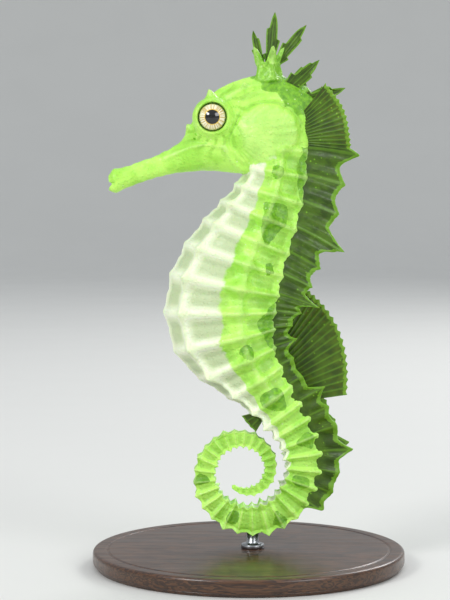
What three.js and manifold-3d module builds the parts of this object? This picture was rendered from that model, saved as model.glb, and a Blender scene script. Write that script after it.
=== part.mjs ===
// A life-size spiny seahorse, held upright on a plain round stand.
// Millimetres, +Z up. The origin is the centre of the stand's underside.
// The animal faces -X, and its left side is -Y.
import * as THREE from "three";
import { mergeVertices } from "three/addons/utils/BufferGeometryUtils.js";
import Module from "manifold-3d";

const wasm = await Module();
wasm.setup();

// ---------------------------------------------------------------- driving dimensions
const GAP = 0.3; // between neighbouring pieces
const HEAD_LENGTH = 43; // from the mouth to the back of the gill cover
const HEAD_TILT = 19; // degrees that the snout points below level
const MOUTH = { x: -27.5, z: 76.1 };
const SNOUT_END = 16.5; // where the snout meets the face, from the mouth
const NAPE = { along: 36.5, up: 4 }; // where the body's centre line starts, inside the head

const NECK_START = 6.5; // distances along the body's centre line, from the nape
const NECK_RINGS = 1;
const TRUNK_START = 11;
const TRUNK_RINGS = 11;
const TAIL_START = 63;
const TAIL_RINGS = 37;
const TAIL_RING_RATIO = 0.9725; // each tail ring's length over that of the one before
const COIL_START = 74.5;
const COIL_LENGTH = 64;
const COIL_RADIUS = { start: 12.4, tip: 3.9 };
const BODY_LENGTH = COIL_START + COIL_LENGTH;

const EYE = { along: 23.4, up: 5.5, out: 3.8, radius: 3.3 };
const ORBIT = { radius: 4.0, rim: 0.85, out: 5.0 };
const GILL = { along: 32, up: -1.4, out: 4.7, long: 6.8, high: 6.2, wide: 3.0, proud: 0.45 };
const CORONET = { along: 36, up: 9.8, radius: 2.8, height: 3.4, points: 5, point: 3.4, lean: 17 };
const FROND_THICK = 0.65;

const BASE = { radius: 31, height: 3.5, chamfer: 0.8, sides: 56 };
const ROD = { radius: 1.2, sides: 12, bite: 1.5 };

// ---------------------------------------------------------------- colours
const SKIN = 0xb4e864;
const BELLY = 0xe9f4cf;
const OLIVE = 0x4a6711;
const EYE_DARK = 0x15130f;
const WALNUT = 0x4a2f1d;
const STEEL = 0xb9bcc0;
const finish = (color, roughness, metalness = 0) =>
  new THREE.MeshStandardMaterial({ color, roughness, metalness });

// ---------------------------------------------------------------- curves
const rad = THREE.MathUtils.degToRad;
const { lerp, clamp } = THREE.MathUtils;

// A smooth curve through [x, y] knots that never swings past them (a monotone cubic).
function profile(knots) {
  const x = knots.map((k) => k[0]);
  const y = knots.map((k) => k[1]);
  const chord = y.slice(1).map((v, i) => (v - y[i]) / (x[i + 1] - x[i]));
  const slope = y.map((_, i) => {
    if (i === 0) return chord[0];
    if (i === y.length - 1) return chord[i - 1];
    const [a, b] = [chord[i - 1], chord[i]];
    return a * b <= 0 ? 0 : (2 * a * b) / (a + b);
  });
  return (at) => {
    const v = clamp(at, x[0], x[x.length - 1]);
    let i = 0;
    while (i < x.length - 2 && v > x[i + 1]) i++;
    const h = x[i + 1] - x[i];
    const t = (v - x[i]) / h;
    const [t2, t3] = [t * t, t * t * t];
    return (
      (2 * t3 - 3 * t2 + 1) * y[i] +
      (t3 - 2 * t2 + t) * h * slope[i] +
      (3 * t2 - 2 * t3) * y[i + 1] +
      (t3 - t2) * h * slope[i + 1]
    );
  };
}

// ---------------------------------------------------------------- the body's centre line
// Its heading, in degrees, along the neck, the trunk and the straight of the tail: -90 is straight down.
const postureHeading = profile([
  [0, -80], [8, -91], [16, -104], [26, -113], [34, -107], [43, -88],
  [50, -70], [57, -57], [63, -53], [69, -60], [COIL_START, -83],
]);

// The coil is a logarithmic spiral, whose radius shrinks evenly along it.
const coilRate = (COIL_RADIUS.start - COIL_RADIUS.tip) / COIL_LENGTH;
const coilRadius = (left) => COIL_RADIUS.tip + coilRate * left;

function heading(s) {
  if (s <= COIL_START) return postureHeading(s);
  const turned = Math.log(coilRadius(COIL_LENGTH) / coilRadius(BODY_LENGTH - s)) / coilRate;
  return postureHeading(COIL_START) - THREE.MathUtils.radToDeg(turned);
}

// A point of the head: along from the mouth, up from the snout's axis, and out to the side.
const headAxis = new THREE.Vector3(Math.cos(rad(HEAD_TILT)), 0, Math.sin(rad(HEAD_TILT)));
const headUp = new THREE.Vector3(-headAxis.z, 0, headAxis.x);
function inHead(along, up, out = 0) {
  return new THREE.Vector3(MOUTH.x, out, MOUTH.z)
    .addScaledVector(headAxis, along)
    .addScaledVector(headUp, up);
}

const LINE_STEP = 0.25;
const centreLine = [inHead(NAPE.along, NAPE.up)];
for (let s = LINE_STEP / 2; s < BODY_LENGTH; s += LINE_STEP) {
  const a = rad(heading(s));
  const step = new THREE.Vector3(Math.cos(a), 0, Math.sin(a)).multiplyScalar(LINE_STEP);
  centreLine.push(centreLine[centreLine.length - 1].clone().add(step));
}

// The centre, and the directions along the body and towards the back, at a distance s.
function frameAt(s) {
  const at = clamp(s / LINE_STEP, 0, centreLine.length - 1.001);
  const i = Math.floor(at);
  const centre = centreLine[i].clone().lerp(centreLine[i + 1], at - i);
  const a = rad(heading(clamp(s, 0, BODY_LENGTH - 0.01)));
  return {
    centre,
    along: new THREE.Vector3(Math.cos(a), 0, Math.sin(a)),
    back: new THREE.Vector3(-Math.sin(a), 0, Math.cos(a)),
  };
}

// ---------------------------------------------------------------- the body's rings
function ringEdges() {
  const edges = [NECK_START];
  const neckRing = (TRUNK_START - NECK_START) / NECK_RINGS;
  for (let i = 0; i < NECK_RINGS; i++) edges.push(edges[edges.length - 1] + neckRing);
  const swell = (i) => 1 + 0.12 * Math.sin((Math.PI * (i + 0.5)) / TRUNK_RINGS);
  const swells = Array.from({ length: TRUNK_RINGS }, (_, i) => swell(i));
  const trunkUnit = (TAIL_START - TRUNK_START) / swells.reduce((a, b) => a + b);
  for (const each of swells) edges.push(edges[edges.length - 1] + trunkUnit * each);
  const tailLength = BODY_LENGTH - TAIL_START;
  const first = (tailLength * (1 - TAIL_RING_RATIO)) / (1 - TAIL_RING_RATIO ** TAIL_RINGS);
  for (let i = 0; i < TAIL_RINGS; i++) {
    edges.push(edges[edges.length - 1] + first * TAIL_RING_RATIO ** i);
  }
  return edges;
}
const EDGES = ringEdges();
const FIRST_TAIL_RING = NECK_RINGS + TRUNK_RINGS;
const RING_COUNT = FIRST_TAIL_RING + TAIL_RINGS;
const ringAt = (ring, phase) => lerp(EDGES[ring], EDGES[ring + 1], phase);

// ---------------------------------------------------------------- the body's section
const tailDepth = [[80, 3.5], [97, 2.6], [115, 1.75], [130, 1.1], [BODY_LENGTH, 0.45]];
const backDepth = profile([
  [0, 3.6], [4, 5.4], [11, 6.3], [18, 7.0], [28, 8.2], [38, 9.0], [46, 8.2], [54, 6.2],
  [63, 4.9], [70, 4.3], ...tailDepth,
]);
const bellyDepth = profile([
  [0, 3.8], [4, 5.2], [11, 6.0], [18, 7.4], [27, 10.4], [35, 13.1], [42, 14.2], [48, 12.8], [53, 9.4],
  [58, 6.4], [63, 4.9], [70, 4.3], ...tailDepth,
]);
const sideDepth = profile([
  [0, 3.2], [4, 4.4], [11, 5.1], [18, 5.9], [28, 7.1], [38, 7.7], [46, 7.0], [54, 5.4],
  [63, 4.5], [70, 4.0], ...tailDepth,
]);
const squareness = profile([[0, 2.0], [18, 2.1], [53, 2.2], [65, 3.2], [82, 3.6], [BODY_LENGTH, 3.2]]);

// Angles round the body run from 0 at the back, through 90 at the left side, to 180 at the belly.
const UPPER_RIDGE = 36;
const TRUNK_RIDGES = [UPPER_RIDGE, 88, 138, 180, 222, 272, 360 - UPPER_RIDGE];
const TAIL_RIDGES = [45, 135, 225, 315];

// The body's smooth skin at a distance and an angle, moved outwards by lift.
function skinAt(s, angle, lift = 0) {
  const { centre, back } = frameAt(s);
  const [c, d] = [Math.cos(rad(angle)), Math.sin(rad(angle))];
  const power = 2 / squareness(s);
  const depth = c > 0 ? backDepth(s) : bellyDepth(s);
  const up = Math.sign(c) * Math.abs(c) ** power * depth;
  const out = Math.sign(d) * Math.abs(d) ** power * sideDepth(s);
  const away = new THREE.Vector2(up / depth ** 2, out / sideDepth(s) ** 2).normalize();
  return centre
    .clone()
    .addScaledVector(back, up + away.x * lift)
    .add(new THREE.Vector3(0, -(out + away.y * lift), 0));
}

// ---------------------------------------------------------------- solids
// A mesh's geometry as a manifold-3d solid, its faces turned outwards.
function solid(geometry) {
  const bare = geometry.clone();
  for (const name of ["normal", "uv"]) bare.deleteAttribute(name);
  const merged = mergeVertices(bare, 1e-4);
  const make = (triVerts) =>
    new wasm.Manifold(
      new wasm.Mesh({ numProp: 3, vertProperties: merged.attributes.position.array, triVerts }),
    );
  const triVerts = new Uint32Array(merged.index.array);
  const made = make(triVerts);
  return made.volume() > 0 ? made : make(triVerts.reverse());
}

function geometryOf(manifold) {
  const mesh = manifold.getMesh();
  const points = new Float32Array(mesh.numVert * 3);
  for (let i = 0; i < mesh.numVert; i++) {
    points.set(mesh.vertProperties.subarray(i * mesh.numProp, i * mesh.numProp + 3), i * 3);
  }
  const geometry = new THREE.BufferGeometry();
  geometry.setAttribute("position", new THREE.BufferAttribute(points, 3));
  geometry.setIndex(new THREE.BufferAttribute(mesh.triVerts, 1));
  geometry.computeVertexNormals();
  return geometry;
}

const joined = (...solids) => solids.reduce((all, one) => all.add(one));
const largest = (manifold) =>
  manifold.decompose().reduce((best, one) => (one.volume() > best.volume() ? one : best));

// A closed tube: place(row, side, onRim) gives each vertex, and each end's middle has onRim false.
function tube(rows, sides, place) {
  const geometry = new THREE.CylinderGeometry(1, 1, 1, sides, rows);
  const at = geometry.attributes.position;
  for (let i = 0; i < at.count; i++) {
    const row = Math.round((0.5 - at.getY(i)) * rows);
    const turn = Math.atan2(at.getX(i), at.getZ(i)) / (2 * Math.PI);
    const side = (Math.round(turn * sides) + sides) % sides;
    const p = place(row, side, Math.hypot(at.getX(i), at.getZ(i)) > 0.5);
    at.setXYZ(i, p.x, p.y, p.z);
  }
  return solid(geometry);
}

// A cone with its foot at root, pointing along direction.
function spine(root, direction, radius, length, sides = 5) {
  const foot = radius * 0.6; // how far it is sunk
  const geometry = new THREE.ConeGeometry(radius, length + foot, sides);
  geometry.translate(0, (length + foot) / 2 - foot, 0);
  const turn = new THREE.Quaternion().setFromUnitVectors(
    new THREE.Vector3(0, 1, 0),
    direction.clone().normalize(),
  );
  geometry.applyQuaternion(turn).translate(root.x, root.y, root.z);
  return solid(geometry);
}

function ball(centre, radii, columns = 14, rows = 8) {
  const geometry = new THREE.SphereGeometry(1, columns, rows);
  geometry.scale(radii.x, radii.y, radii.z);
  return geometry.translate(centre.x, centre.y, centre.z);
}

// ---------------------------------------------------------------- rings of the body
const CREST_PHASE = 0.6; // where a ring stands proudest, with its spines
const GROOVE = -0.35;
const CREST = 0.3;
const PANEL = -0.3; // the sunken middle of a plate
const RIDGE_HALF_WIDTH = 7; // degrees

const ridgeScale = profile([[0, 0.5], [TRUNK_START, 0.9], [40, 1.1], [TAIL_START, 0.9], [BODY_LENGTH, 0.25]]);

// Longer spines stand on every third ring, as in the living animal.
const isLongRing = (ring) => ring % 3 === 0;
function spineHeight(ring, angle) {
  const onBack = angle === UPPER_RIDGE || angle === 360 - UPPER_RIDGE || angle === 45 || angle === 315;
  const onKeel = angle === 180;
  const height = onKeel ? 0.35 : onBack ? 1.0 : 1.25;
  return height * (isLongRing(ring) ? 1.7 : 1) * ridgeScale(ringAt(ring, 0.5));
}

// The vertices round a ring: each ridge, the middle of each plate, and the two flanks of the flanked ridges.
function sidesOf(ridges, isFlanked) {
  const sides = [];
  ridges.forEach((angle, i) => {
    const next = i + 1 < ridges.length ? ridges[i + 1] : ridges[0] + 360;
    if (isFlanked(angle)) sides.push({ angle: angle - RIDGE_HALF_WIDTH, kind: "flank" });
    sides.push({ angle, kind: "ridge" });
    if (isFlanked(angle)) sides.push({ angle: angle + RIDGE_HALF_WIDTH, kind: "flank" });
    sides.push({ angle: (angle + next) / 2, kind: "panel" });
  });
  return sides;
}
const TRUNK_SIDES = sidesOf(TRUNK_RIDGES, (angle) => angle === 88 || angle === 272);
const TAIL_SIDES = sidesOf(TAIL_RIDGES, () => false);

// How far a ring's surface stands off the smooth skin.
function relief(ring, phase, side) {
  const scale = ridgeScale(ringAt(ring, phase));
  const across = phase === 0 ? GROOVE : CREST;
  if (side.kind === "panel") return (PANEL + across) * scale;
  if (side.kind === "flank") return (0.1 + across) * scale;
  return (0.35 + across) * scale + (phase === CREST_PHASE ? spineHeight(ring, side.angle) : 0);
}

// The same between stations, along the middle of the back.
function backPanelLift(s) {
  const ring = EDGES.findIndex((edge) => edge > s) - 1;
  const phase = (s - EDGES[ring]) / (EDGES[ring + 1] - EDGES[ring]);
  const rise = phase < CREST_PHASE ? phase / CREST_PHASE : (1 - phase) / (1 - CREST_PHASE);
  return (PANEL + lerp(GROOVE, CREST, rise)) * ridgeScale(s);
}

// The body from ring to ring, grown outwards by grow where it only has to clear a neighbour.
function rings(first, last, grow = 0) {
  const sides = first < FIRST_TAIL_RING ? TRUNK_SIDES : TAIL_SIDES;
  const rows = [];
  for (let ring = first; ring < last; ring++) {
    for (const phase of [0, CREST_PHASE]) rows.push({ ring, phase, s: ringAt(ring, phase) });
  }
  rows.push({ ring: Math.min(last, RING_COUNT - 1), phase: 0, s: EDGES[last] });
  const trim = GAP / 2 - grow;
  rows[0].s += trim;
  rows[rows.length - 1].s -= trim;
  return tube(rows.length - 1, sides.length, (row, side, onRim) => {
    const { ring, phase, s } = rows[row];
    if (!onRim) return frameAt(s).centre;
    return skinAt(s, sides[side].angle, relief(ring, phase, sides[side]) + grow);
  });
}

// ---------------------------------------------------------------- the mane
// Flat olive fronds stand on the spines of the back's two upper ridges, joined by low webs.
const frondHeight = profile([
  [NECK_START, 10.5], [15, 10.5], [28, 9.2], [40, 7.4], [50, 4.6], [60, 4.2], [68, 6.2], [77, 5], [86, 2],
]);
const LAST_FROND_RING = FIRST_TAIL_RING + 7;
const FROND_SPLAY = 16; // degrees that a frond leans off the middle
const SHORT_FROND = 0.68; // a short frond's height over a long one's
const WEB_SHARE = 0.5; // a web's height over a long frond's
const ROOT_DEPTH = 0.9;

// One side's strip of fronds from ring to ring, for an outline of distance and height.
function maneStrip(first, last, side, ridgeAngle) {
  const start = EDGES[first] + GAP / 2;
  const end = EDGES[last] - GAP / 2;
  const outline = new THREE.Shape();
  outline.moveTo(start, -ROOT_DEPTH);
  outline.lineTo(start, frondHeight(start) * WEB_SHARE);
  for (let ring = first; ring < last; ring++) {
    const tall = frondHeight(ringAt(ring, 0.5));
    const tip = tall * (isLongRing(ring) ? 1 : SHORT_FROND);
    outline.lineTo(ringAt(ring, 0.24), lerp(tall * WEB_SHARE, tip, 0.5));
    outline.lineTo(ringAt(ring, 0.46), tip);
    outline.lineTo(ringAt(ring, 0.7), lerp(tall * WEB_SHARE, tip, 0.35));
    outline.lineTo(ring + 1 < last ? EDGES[ring + 1] : end, frondHeight(EDGES[ring + 1]) * WEB_SHARE);
  }
  outline.lineTo(end, -ROOT_DEPTH);
  for (let ring = last - 1; ring > first; ring--) outline.lineTo(EDGES[ring], -ROOT_DEPTH);
  outline.closePath();

  const geometry = new THREE.ExtrudeGeometry(outline, { depth: FROND_THICK, bevelEnabled: false });
  const at = geometry.attributes.position;
  for (let i = 0; i < at.count; i++) {
    const [s, height, across] = [at.getX(i), at.getY(i), at.getZ(i) - FROND_THICK / 2];
    const { back } = frameAt(s);
    const sideways = new THREE.Vector3(0, -side, 0);
    const outward = back.clone().multiplyScalar(Math.cos(rad(FROND_SPLAY)));
    outward.addScaledVector(sideways, Math.sin(rad(FROND_SPLAY)));
    const flat = back.clone().multiplyScalar(-Math.sin(rad(FROND_SPLAY)));
    flat.addScaledVector(sideways, Math.cos(rad(FROND_SPLAY)));
    const p = skinAt(s, side > 0 ? ridgeAngle : 360 - ridgeAngle)
      .addScaledVector(outward, height)
      .addScaledVector(flat, across);
    at.setXYZ(i, p.x, p.y, p.z);
  }
  return solid(geometry);
}

// ---------------------------------------------------------------- fins
// A fan of rays. ray(t) gives the root, direction and length of the ray at t from 0 to 1.
function fan(rayCount, rows, ray) {
  const [raySize, webSize, scallop] = [0.8, 0.55, 0.92];
  const columns = (rayCount - 1) * 2;
  const geometry = new THREE.BoxGeometry(1, 1, 1, columns, rows, 1);
  const at = geometry.attributes.position;
  for (let i = 0; i < at.count; i++) {
    const column = Math.round((at.getX(i) + 0.5) * columns);
    const row = Math.round((at.getY(i) + 0.5) * rows);
    const onRay = column % 2 === 0;
    const { root, direction, flat, length } = ray(column / columns);
    const reach = (row / rows) * length * (onRay || row < rows ? 1 : scallop);
    const taper = 1 - 0.3 * (row / rows);
    const half = Math.max(0.25, ((onRay ? raySize : webSize) / 2) * taper);
    const p = root
      .clone()
      .addScaledVector(direction, reach)
      .addScaledVector(flat, Math.sign(at.getZ(i)) * half);
    at.setXYZ(i, p.x, p.y, p.z);
  }
  return solid(geometry);
}

const Y = new THREE.Vector3(0, 1, 0);

const DORSAL = { from: 51.5, to: 65.5, rays: 17, length: 14, spreadFrom: 30, spreadTo: -26 };
function dorsalRay(t) {
  const s = lerp(DORSAL.from, DORSAL.to, t);
  const { back } = frameAt(lerp(DORSAL.from, DORSAL.to, 0.5));
  const turn = rad(lerp(DORSAL.spreadFrom, DORSAL.spreadTo, t));
  const length = DORSAL.length * (1 - 0.3 * t ** 2) * (0.86 + 0.14 * Math.sin(Math.PI * t));
  return {
    root: skinAt(s, 0, backPanelLift(s) + GAP),
    direction: back.clone().applyAxisAngle(Y, -turn),
    flat: Y,
    length,
  };
}

const PECTORAL = { rays: 12, length: 10.5, height: 5.4, out: 28, spreadFrom: 30, spreadTo: -24 };
const PECTORAL_ROOT = { along: 39.2, up: -2.8 };
function pectoralRay(t, side) {
  const up = PECTORAL_ROOT.up + PECTORAL.height * (0.5 - t);
  const root = inHead(PECTORAL_ROOT.along - 0.6 * Math.sin(Math.PI * t), up, side * -3.4);
  const outward = new THREE.Vector3(0, -side, 0);
  const axis = headAxis.clone().multiplyScalar(Math.cos(rad(PECTORAL.out)));
  axis.addScaledVector(outward, Math.sin(rad(PECTORAL.out)));
  const flat = headAxis.clone().multiplyScalar(-Math.sin(rad(PECTORAL.out)));
  flat.addScaledVector(outward, Math.cos(rad(PECTORAL.out)));
  const turn = rad(lerp(PECTORAL.spreadFrom, PECTORAL.spreadTo, t));
  const direction = axis.multiplyScalar(Math.cos(turn)).addScaledVector(headUp, Math.sin(turn));
  const length = PECTORAL.length * (0.88 + 0.12 * Math.sin(Math.PI * t));
  return { root, direction, flat, length };
}

const ANAL = { from: 61.6, to: 63.6, rays: 4, length: 3.0 };
function analRay(t) {
  const s = lerp(ANAL.from, ANAL.to, t);
  const { back } = frameAt(lerp(ANAL.from, ANAL.to, 0.5));
  return {
    root: skinAt(s, 180, -0.8),
    direction: back.clone().negate().applyAxisAngle(Y, rad(lerp(22, -22, t))),
    flat: Y,
    length: ANAL.length,
  };
}

// ---------------------------------------------------------------- the head
const headTop = profile([
  [0, 1.5], [1.3, 2.35], [3.2, 2.05], [7.5, 1.95], [12, 2.2], [15.5, 2.9], [18, 4.5], [21, 7.3],
  [24, 9.3], [27.5, 10.3], [31.5, 10.7], [35.5, 10.3], [39.5, 8.3], [HEAD_LENGTH, 5.0],
]);
const headBottom = profile([
  [0, 1.4], [1.3, 2.35], [3.2, 2.05], [7.5, 1.95], [12, 2.3], [15.5, 3.0], [18.5, 3.8], [21, 4.8],
  [24, 6.2], [27.5, 7.8], [31.5, 8.9], [35.5, 8.4], [39.5, 6.0], [HEAD_LENGTH, 3.2],
]);
const headSide = profile([
  [0, 1.3], [1.3, 2.05], [3.2, 1.8], [7.5, 1.7], [12, 1.9], [15.5, 2.4], [18.5, 3.3], [21.5, 4.2],
  [26, 5.0], [31, 5.6], [35.5, 5.5], [40, 4.6], [HEAD_LENGTH, 3.0],
]);
const CROWN_TAPER = 0.42; // how much narrower the crown is than the cheeks
const taperOn = profile([[0, 0], [15, 0], [20.5, 1], [HEAD_LENGTH, 1]]);

function headSkin(along, angle, grow = 0) {
  const [c, d] = [Math.cos(rad(angle)), Math.sin(rad(angle))];
  const up = c * ((c > 0 ? headTop(along) : headBottom(along)) + grow);
  const narrow = 1 - CROWN_TAPER * taperOn(along) * Math.max(0, c) ** 1.5;
  return inHead(along, up, -d * (headSide(along) * narrow + grow));
}

const HEAD_SIDES = 16;
const SNOUT_SIDES = 12;
const SNOUT_STATIONS = [0, 0.6, 1.5, 2.8, 4.2, 8.5, 13.3, SNOUT_END];
const FACE_STATIONS = [SNOUT_END, 18.2, 20, 22, 24.4, 27.5, 31, 34.6, 37.8, 40.6, HEAD_LENGTH];

function headPiece(stations, sides, grow = 0, trimStart = 0, trimEnd = 0) {
  const rows = stations.slice();
  rows[0] += trimStart;
  rows[rows.length - 1] -= trimEnd;
  return tube(rows.length - 1, sides, (row, side, onRim) =>
    onRim ? headSkin(rows[row], (side * 360) / sides, grow) : inHead(rows[row], 0.3),
  );
}

// The ring of skin round an eye, a squat cone that stands out to the side.
function orbit(side) {
  const { radius, rim, out } = ORBIT;
  const outline = [[0, -2.5], [radius + 1.1, -2.5], [radius + 0.35, 0], [radius - 0.2, rim], [0, rim]];
  const geometry = new THREE.LatheGeometry(outline.map(([x, y]) => new THREE.Vector2(x, y)), 12);
  if (side > 0) geometry.rotateX(Math.PI);
  const p = inHead(EYE.along, EYE.up, -side * out);
  return solid(geometry.translate(p.x, p.y, p.z));
}

function eyeball(side, grow = 0) {
  const r = EYE.radius + grow;
  return ball(inHead(EYE.along, EYE.up, -side * EYE.out), { x: r, y: r, z: r });
}

// The rounded plate over a cheek, and the room that it leaves in the head.
function gillOval(side, grow = 0) {
  const size = { x: GILL.long + grow, y: GILL.wide + grow, z: GILL.high + grow };
  const geometry = ball(new THREE.Vector3(0, 0, 0), size, 16, 6);
  geometry.rotateY(rad(-HEAD_TILT));
  const p = inHead(GILL.along, GILL.up, -side * GILL.out);
  return solid(geometry.translate(p.x, p.y, p.z));
}

const HEAD_SPINES = [
  // along, up, out, then the direction up and out, radius and length
  { along: 18.4, up: 4.7, out: 0, lean: [0.9, 0], radius: 0.85, length: 1.8 }, // nose
  { along: 24.6, up: 9.0, out: 3.4, lean: [0.8, 0.55], radius: 1.0, length: 2.4 }, // over the eye
  { along: 27.2, up: -6.8, out: 3.1, lean: [-0.8, 0.5], radius: 0.85, length: 1.7 }, // cheek
  { along: 36.8, up: -7.0, out: 2.4, lean: [-0.85, 0.5], radius: 0.85, length: 1.6 }, // shoulder
  { along: 31.4, up: 9.0, out: 2.8, lean: [0.75, 0.65], radius: 0.85, length: 1.4 }, // temple
];
function headSpines(grow = 0) {
  return HEAD_SPINES.flatMap(({ along, up, out, lean, radius, length }) =>
    (out ? [1, -1] : [1]).map((side) => {
      const direction = headUp.clone().multiplyScalar(lean[0]);
      direction.add(new THREE.Vector3(0, -side * lean[1], 0));
      return spine(inHead(along, up, -side * out), direction, radius + grow, length + 2 * grow);
    }),
  );
}

const roomForHead = joined(
  headPiece(FACE_STATIONS, HEAD_SIDES, GAP + 0.05, -0.5, -0.5),
  ...headSpines(GAP),
);

// Pairs of fronds down the back of the head, between the coronet and the mane.
const NAPE_FRONDS = [
  // along, up, out, then the lean back in degrees, the height and the width
  { along: 40.0, up: 6.2, out: 1.3, lean: 66, height: 8.4, width: 4.0 },
  { along: 42.2, up: 2.4, out: 1.5, lean: 90, height: 8.6, width: 3.8 },
];
function napeFronds() {
  return NAPE_FRONDS.flatMap(({ along, up, out, lean, height, width }) =>
    [1, -1].map((side) => {
      const tall = headUp.clone().applyAxisAngle(Y, rad(lean));
      const wide = headAxis.clone().applyAxisAngle(Y, rad(lean));
      const splay = new THREE.Quaternion().setFromAxisAngle(wide, rad(side * FROND_SPLAY));
      tall.applyQuaternion(splay);
      const placed = new THREE.Matrix4().makeBasis(wide, tall, wide.clone().cross(tall));
      placed.setPosition(inHead(along, up, -side * out).addScaledVector(tall, -ROOT_DEPTH));
      return solid(frondGeometry(height, width).applyMatrix4(placed));
    }),
  );
}

function head() {
  let made = headPiece(FACE_STATIONS, HEAD_SIDES, 0, GAP / 2);
  made = joined(made, orbit(1), orbit(-1), ...headSpines(), ...napeFronds());
  for (const side of [1, -1]) {
    made = made.subtract(solid(eyeball(side, GAP))).subtract(gillOval(side, GAP));
  }
  return largest(made);
}

// The snout ends in small flared lips round a slanting mouth.
function snout() {
  const mouthAt = inHead(0.2, 0.35);
  const hole = ball(new THREE.Vector3(0, 0, 0), { x: 1.7, y: 0.85, z: 1.1 }, 10, 6);
  hole.rotateY(rad(-HEAD_TILT)).translate(mouthAt.x, mouthAt.y, mouthAt.z);
  return headPiece(SNOUT_STATIONS, SNOUT_SIDES, 0, 0, GAP / 2).subtract(solid(hole));
}

function gillCover(side) {
  const shell = headPiece(FACE_STATIONS, HEAD_SIDES, GILL.proud, -0.4, -0.4);
  return largest(gillOval(side).intersect(shell));
}

// ---------------------------------------------------------------- the coronet
// A stalk of a few rows, flared into a five-pointed crown, with a frond on its back points.
function coronet() {
  const back = headUp.clone().applyAxisAngle(Y, rad(CORONET.lean));
  const foot = inHead(CORONET.along, CORONET.up - 1.6);
  const across = headAxis.clone().applyAxisAngle(Y, rad(CORONET.lean));
  const rows = [[0, 1.15], [0.45, 0.82], [0.75, 0.8], [1, 0.98]];
  const around = (angle, radius) =>
    across
      .clone()
      .multiplyScalar(Math.cos(angle) * radius)
      .addScaledVector(Y, Math.sin(angle) * radius);
  const stalk = tube(rows.length - 1, 10, (row, side, onRim) => {
    const [share, width] = rows[row];
    const radius = onRim ? CORONET.radius * width * (side % 2 ? 0.86 : 1) : 0;
    const dip = onRim ? 0 : row === rows.length - 1 ? 0.5 : 0;
    return foot
      .clone()
      .addScaledVector(back, share * (CORONET.height + 1.6) - dip)
      .add(around((side * Math.PI) / 5, radius));
  });
  const crown = foot.clone().addScaledVector(back, CORONET.height + 1.1);
  const points = Array.from({ length: CORONET.points }, (_, i) => {
    const angle = (i * 2 * Math.PI) / CORONET.points;
    const outward = around(angle, 1);
    const root = crown.clone().addScaledVector(outward, CORONET.radius * 0.66);
    return spine(root, outward.multiplyScalar(0.55).add(back), 0.95, CORONET.point, 4);
  });
  return largest(joined(stalk, ...points, ...coronetFronds(crown, across, back)).subtract(roomForHead));
}

const CORONET_FRONDS = [
  // how far it stands back from the middle, its lean back in degrees, its height and width
  { back: -1.5, lean: -12, height: 7.0, width: 3.2 },
  { back: 0.4, lean: 8, height: 10.6, width: 4.4 },
  { back: 2.2, lean: 40, height: 9.6, width: 4.2 },
];
function frondGeometry(height, width) {
  const outline = new THREE.Shape();
  outline.moveTo(-width / 2, 0);
  outline.quadraticCurveTo(-width * 0.42, height * 0.5, 0, height);
  outline.quadraticCurveTo(width * 0.3, height * 0.5, width / 2, 0);
  outline.closePath();
  const settings = { depth: FROND_THICK, bevelEnabled: false, curveSegments: 3 };
  return new THREE.ExtrudeGeometry(outline, settings).translate(0, 0, -FROND_THICK / 2);
}
function coronetFronds(crown, across, back) {
  return CORONET_FRONDS.map(({ back: offset, lean, height, width }) => {
    const up = back.clone().applyAxisAngle(Y, rad(lean));
    const wide = across.clone().applyAxisAngle(Y, rad(lean));
    const placed = new THREE.Matrix4().makeBasis(wide, up, wide.clone().cross(up));
    placed.setPosition(crown.clone().addScaledVector(across, offset).addScaledVector(up, -1));
    return solid(frondGeometry(height, width).applyMatrix4(placed));
  });
}

// ---------------------------------------------------------------- neck, trunk and tail
// Each length of the body: its rings, the vertices round it, and whether it carries the mane.
const TRUNK_CUTS = [1, 5, 9, FIRST_TAIL_RING];
const TAIL_CUTS = [0, 5, 8, 13, 18, 23, 29, TAIL_RINGS].map((n) => n + FIRST_TAIL_RING);

function neck() {
  const crest = ringAt(0, CREST_PHASE);
  const rows = [0, 3, NECK_START, crest, TRUNK_START - GAP / 2];
  const sides = TRUNK_SIDES;
  const made = tube(rows.length - 1, sides.length, (row, side, onRim) => {
    if (!onRim) return frameAt(rows[row]).centre;
    const phase = rows[row] === crest ? CREST_PHASE : 0;
    const lift = rows[row] < NECK_START ? 0 : relief(0, phase, sides[side]);
    return skinAt(rows[row], sides[side].angle, lift);
  });
  const manes = [1, -1].map((side) => maneStrip(0, 1, side, UPPER_RIDGE));
  return behindHead(joined(made, ...manes));
}

// What is left of a piece of the body once the head, the gill covers and the front fins have their room.
function behindHead(piece) {
  const fins = [1, -1].map((side) => fan(4, 1, roomFor((t) => pectoralRay(t, side))));
  const covers = [1, -1].map((side) => gillOval(side, GAP + GILL.proud));
  return largest([roomForHead, ...covers, ...fins].reduce((left, one) => left.subtract(one), piece));
}

// The same fan, shorter and thicker, so that what it stands in keeps clear of it.
function roomFor(ray) {
  return (t) => {
    const made = ray(t);
    return { ...made, flat: made.flat.clone().multiplyScalar(2.2) };
  };
}

function trunkPiece(first, last) {
  const manes = [1, -1].map((side) => maneStrip(first, last, side, UPPER_RIDGE));
  return joined(rings(first, last), ...manes);
}

function tailPiece(first, last) {
  const body = rings(first, last);
  const end = Math.min(last, LAST_FROND_RING);
  if (first >= end) return body;
  return joined(body, ...[1, -1].map((side) => maneStrip(first, end, side, TAIL_RIDGES[0])));
}

function analFin() {
  const fin = fan(ANAL.rays, 2, analRay);
  const trunkEnd = rings(TRUNK_CUTS[2], FIRST_TAIL_RING, GAP);
  const tailEnd = rings(FIRST_TAIL_RING, TAIL_CUTS[1], GAP);
  return largest(fin.subtract(trunkEnd).subtract(tailEnd));
}

function pectoralFin(side) {
  const fin = fan(PECTORAL.rays, 2, (t) => pectoralRay(t, side));
  return largest(fin.subtract(roomForHead).subtract(gillOval(side, GAP + GILL.proud)));
}

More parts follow.
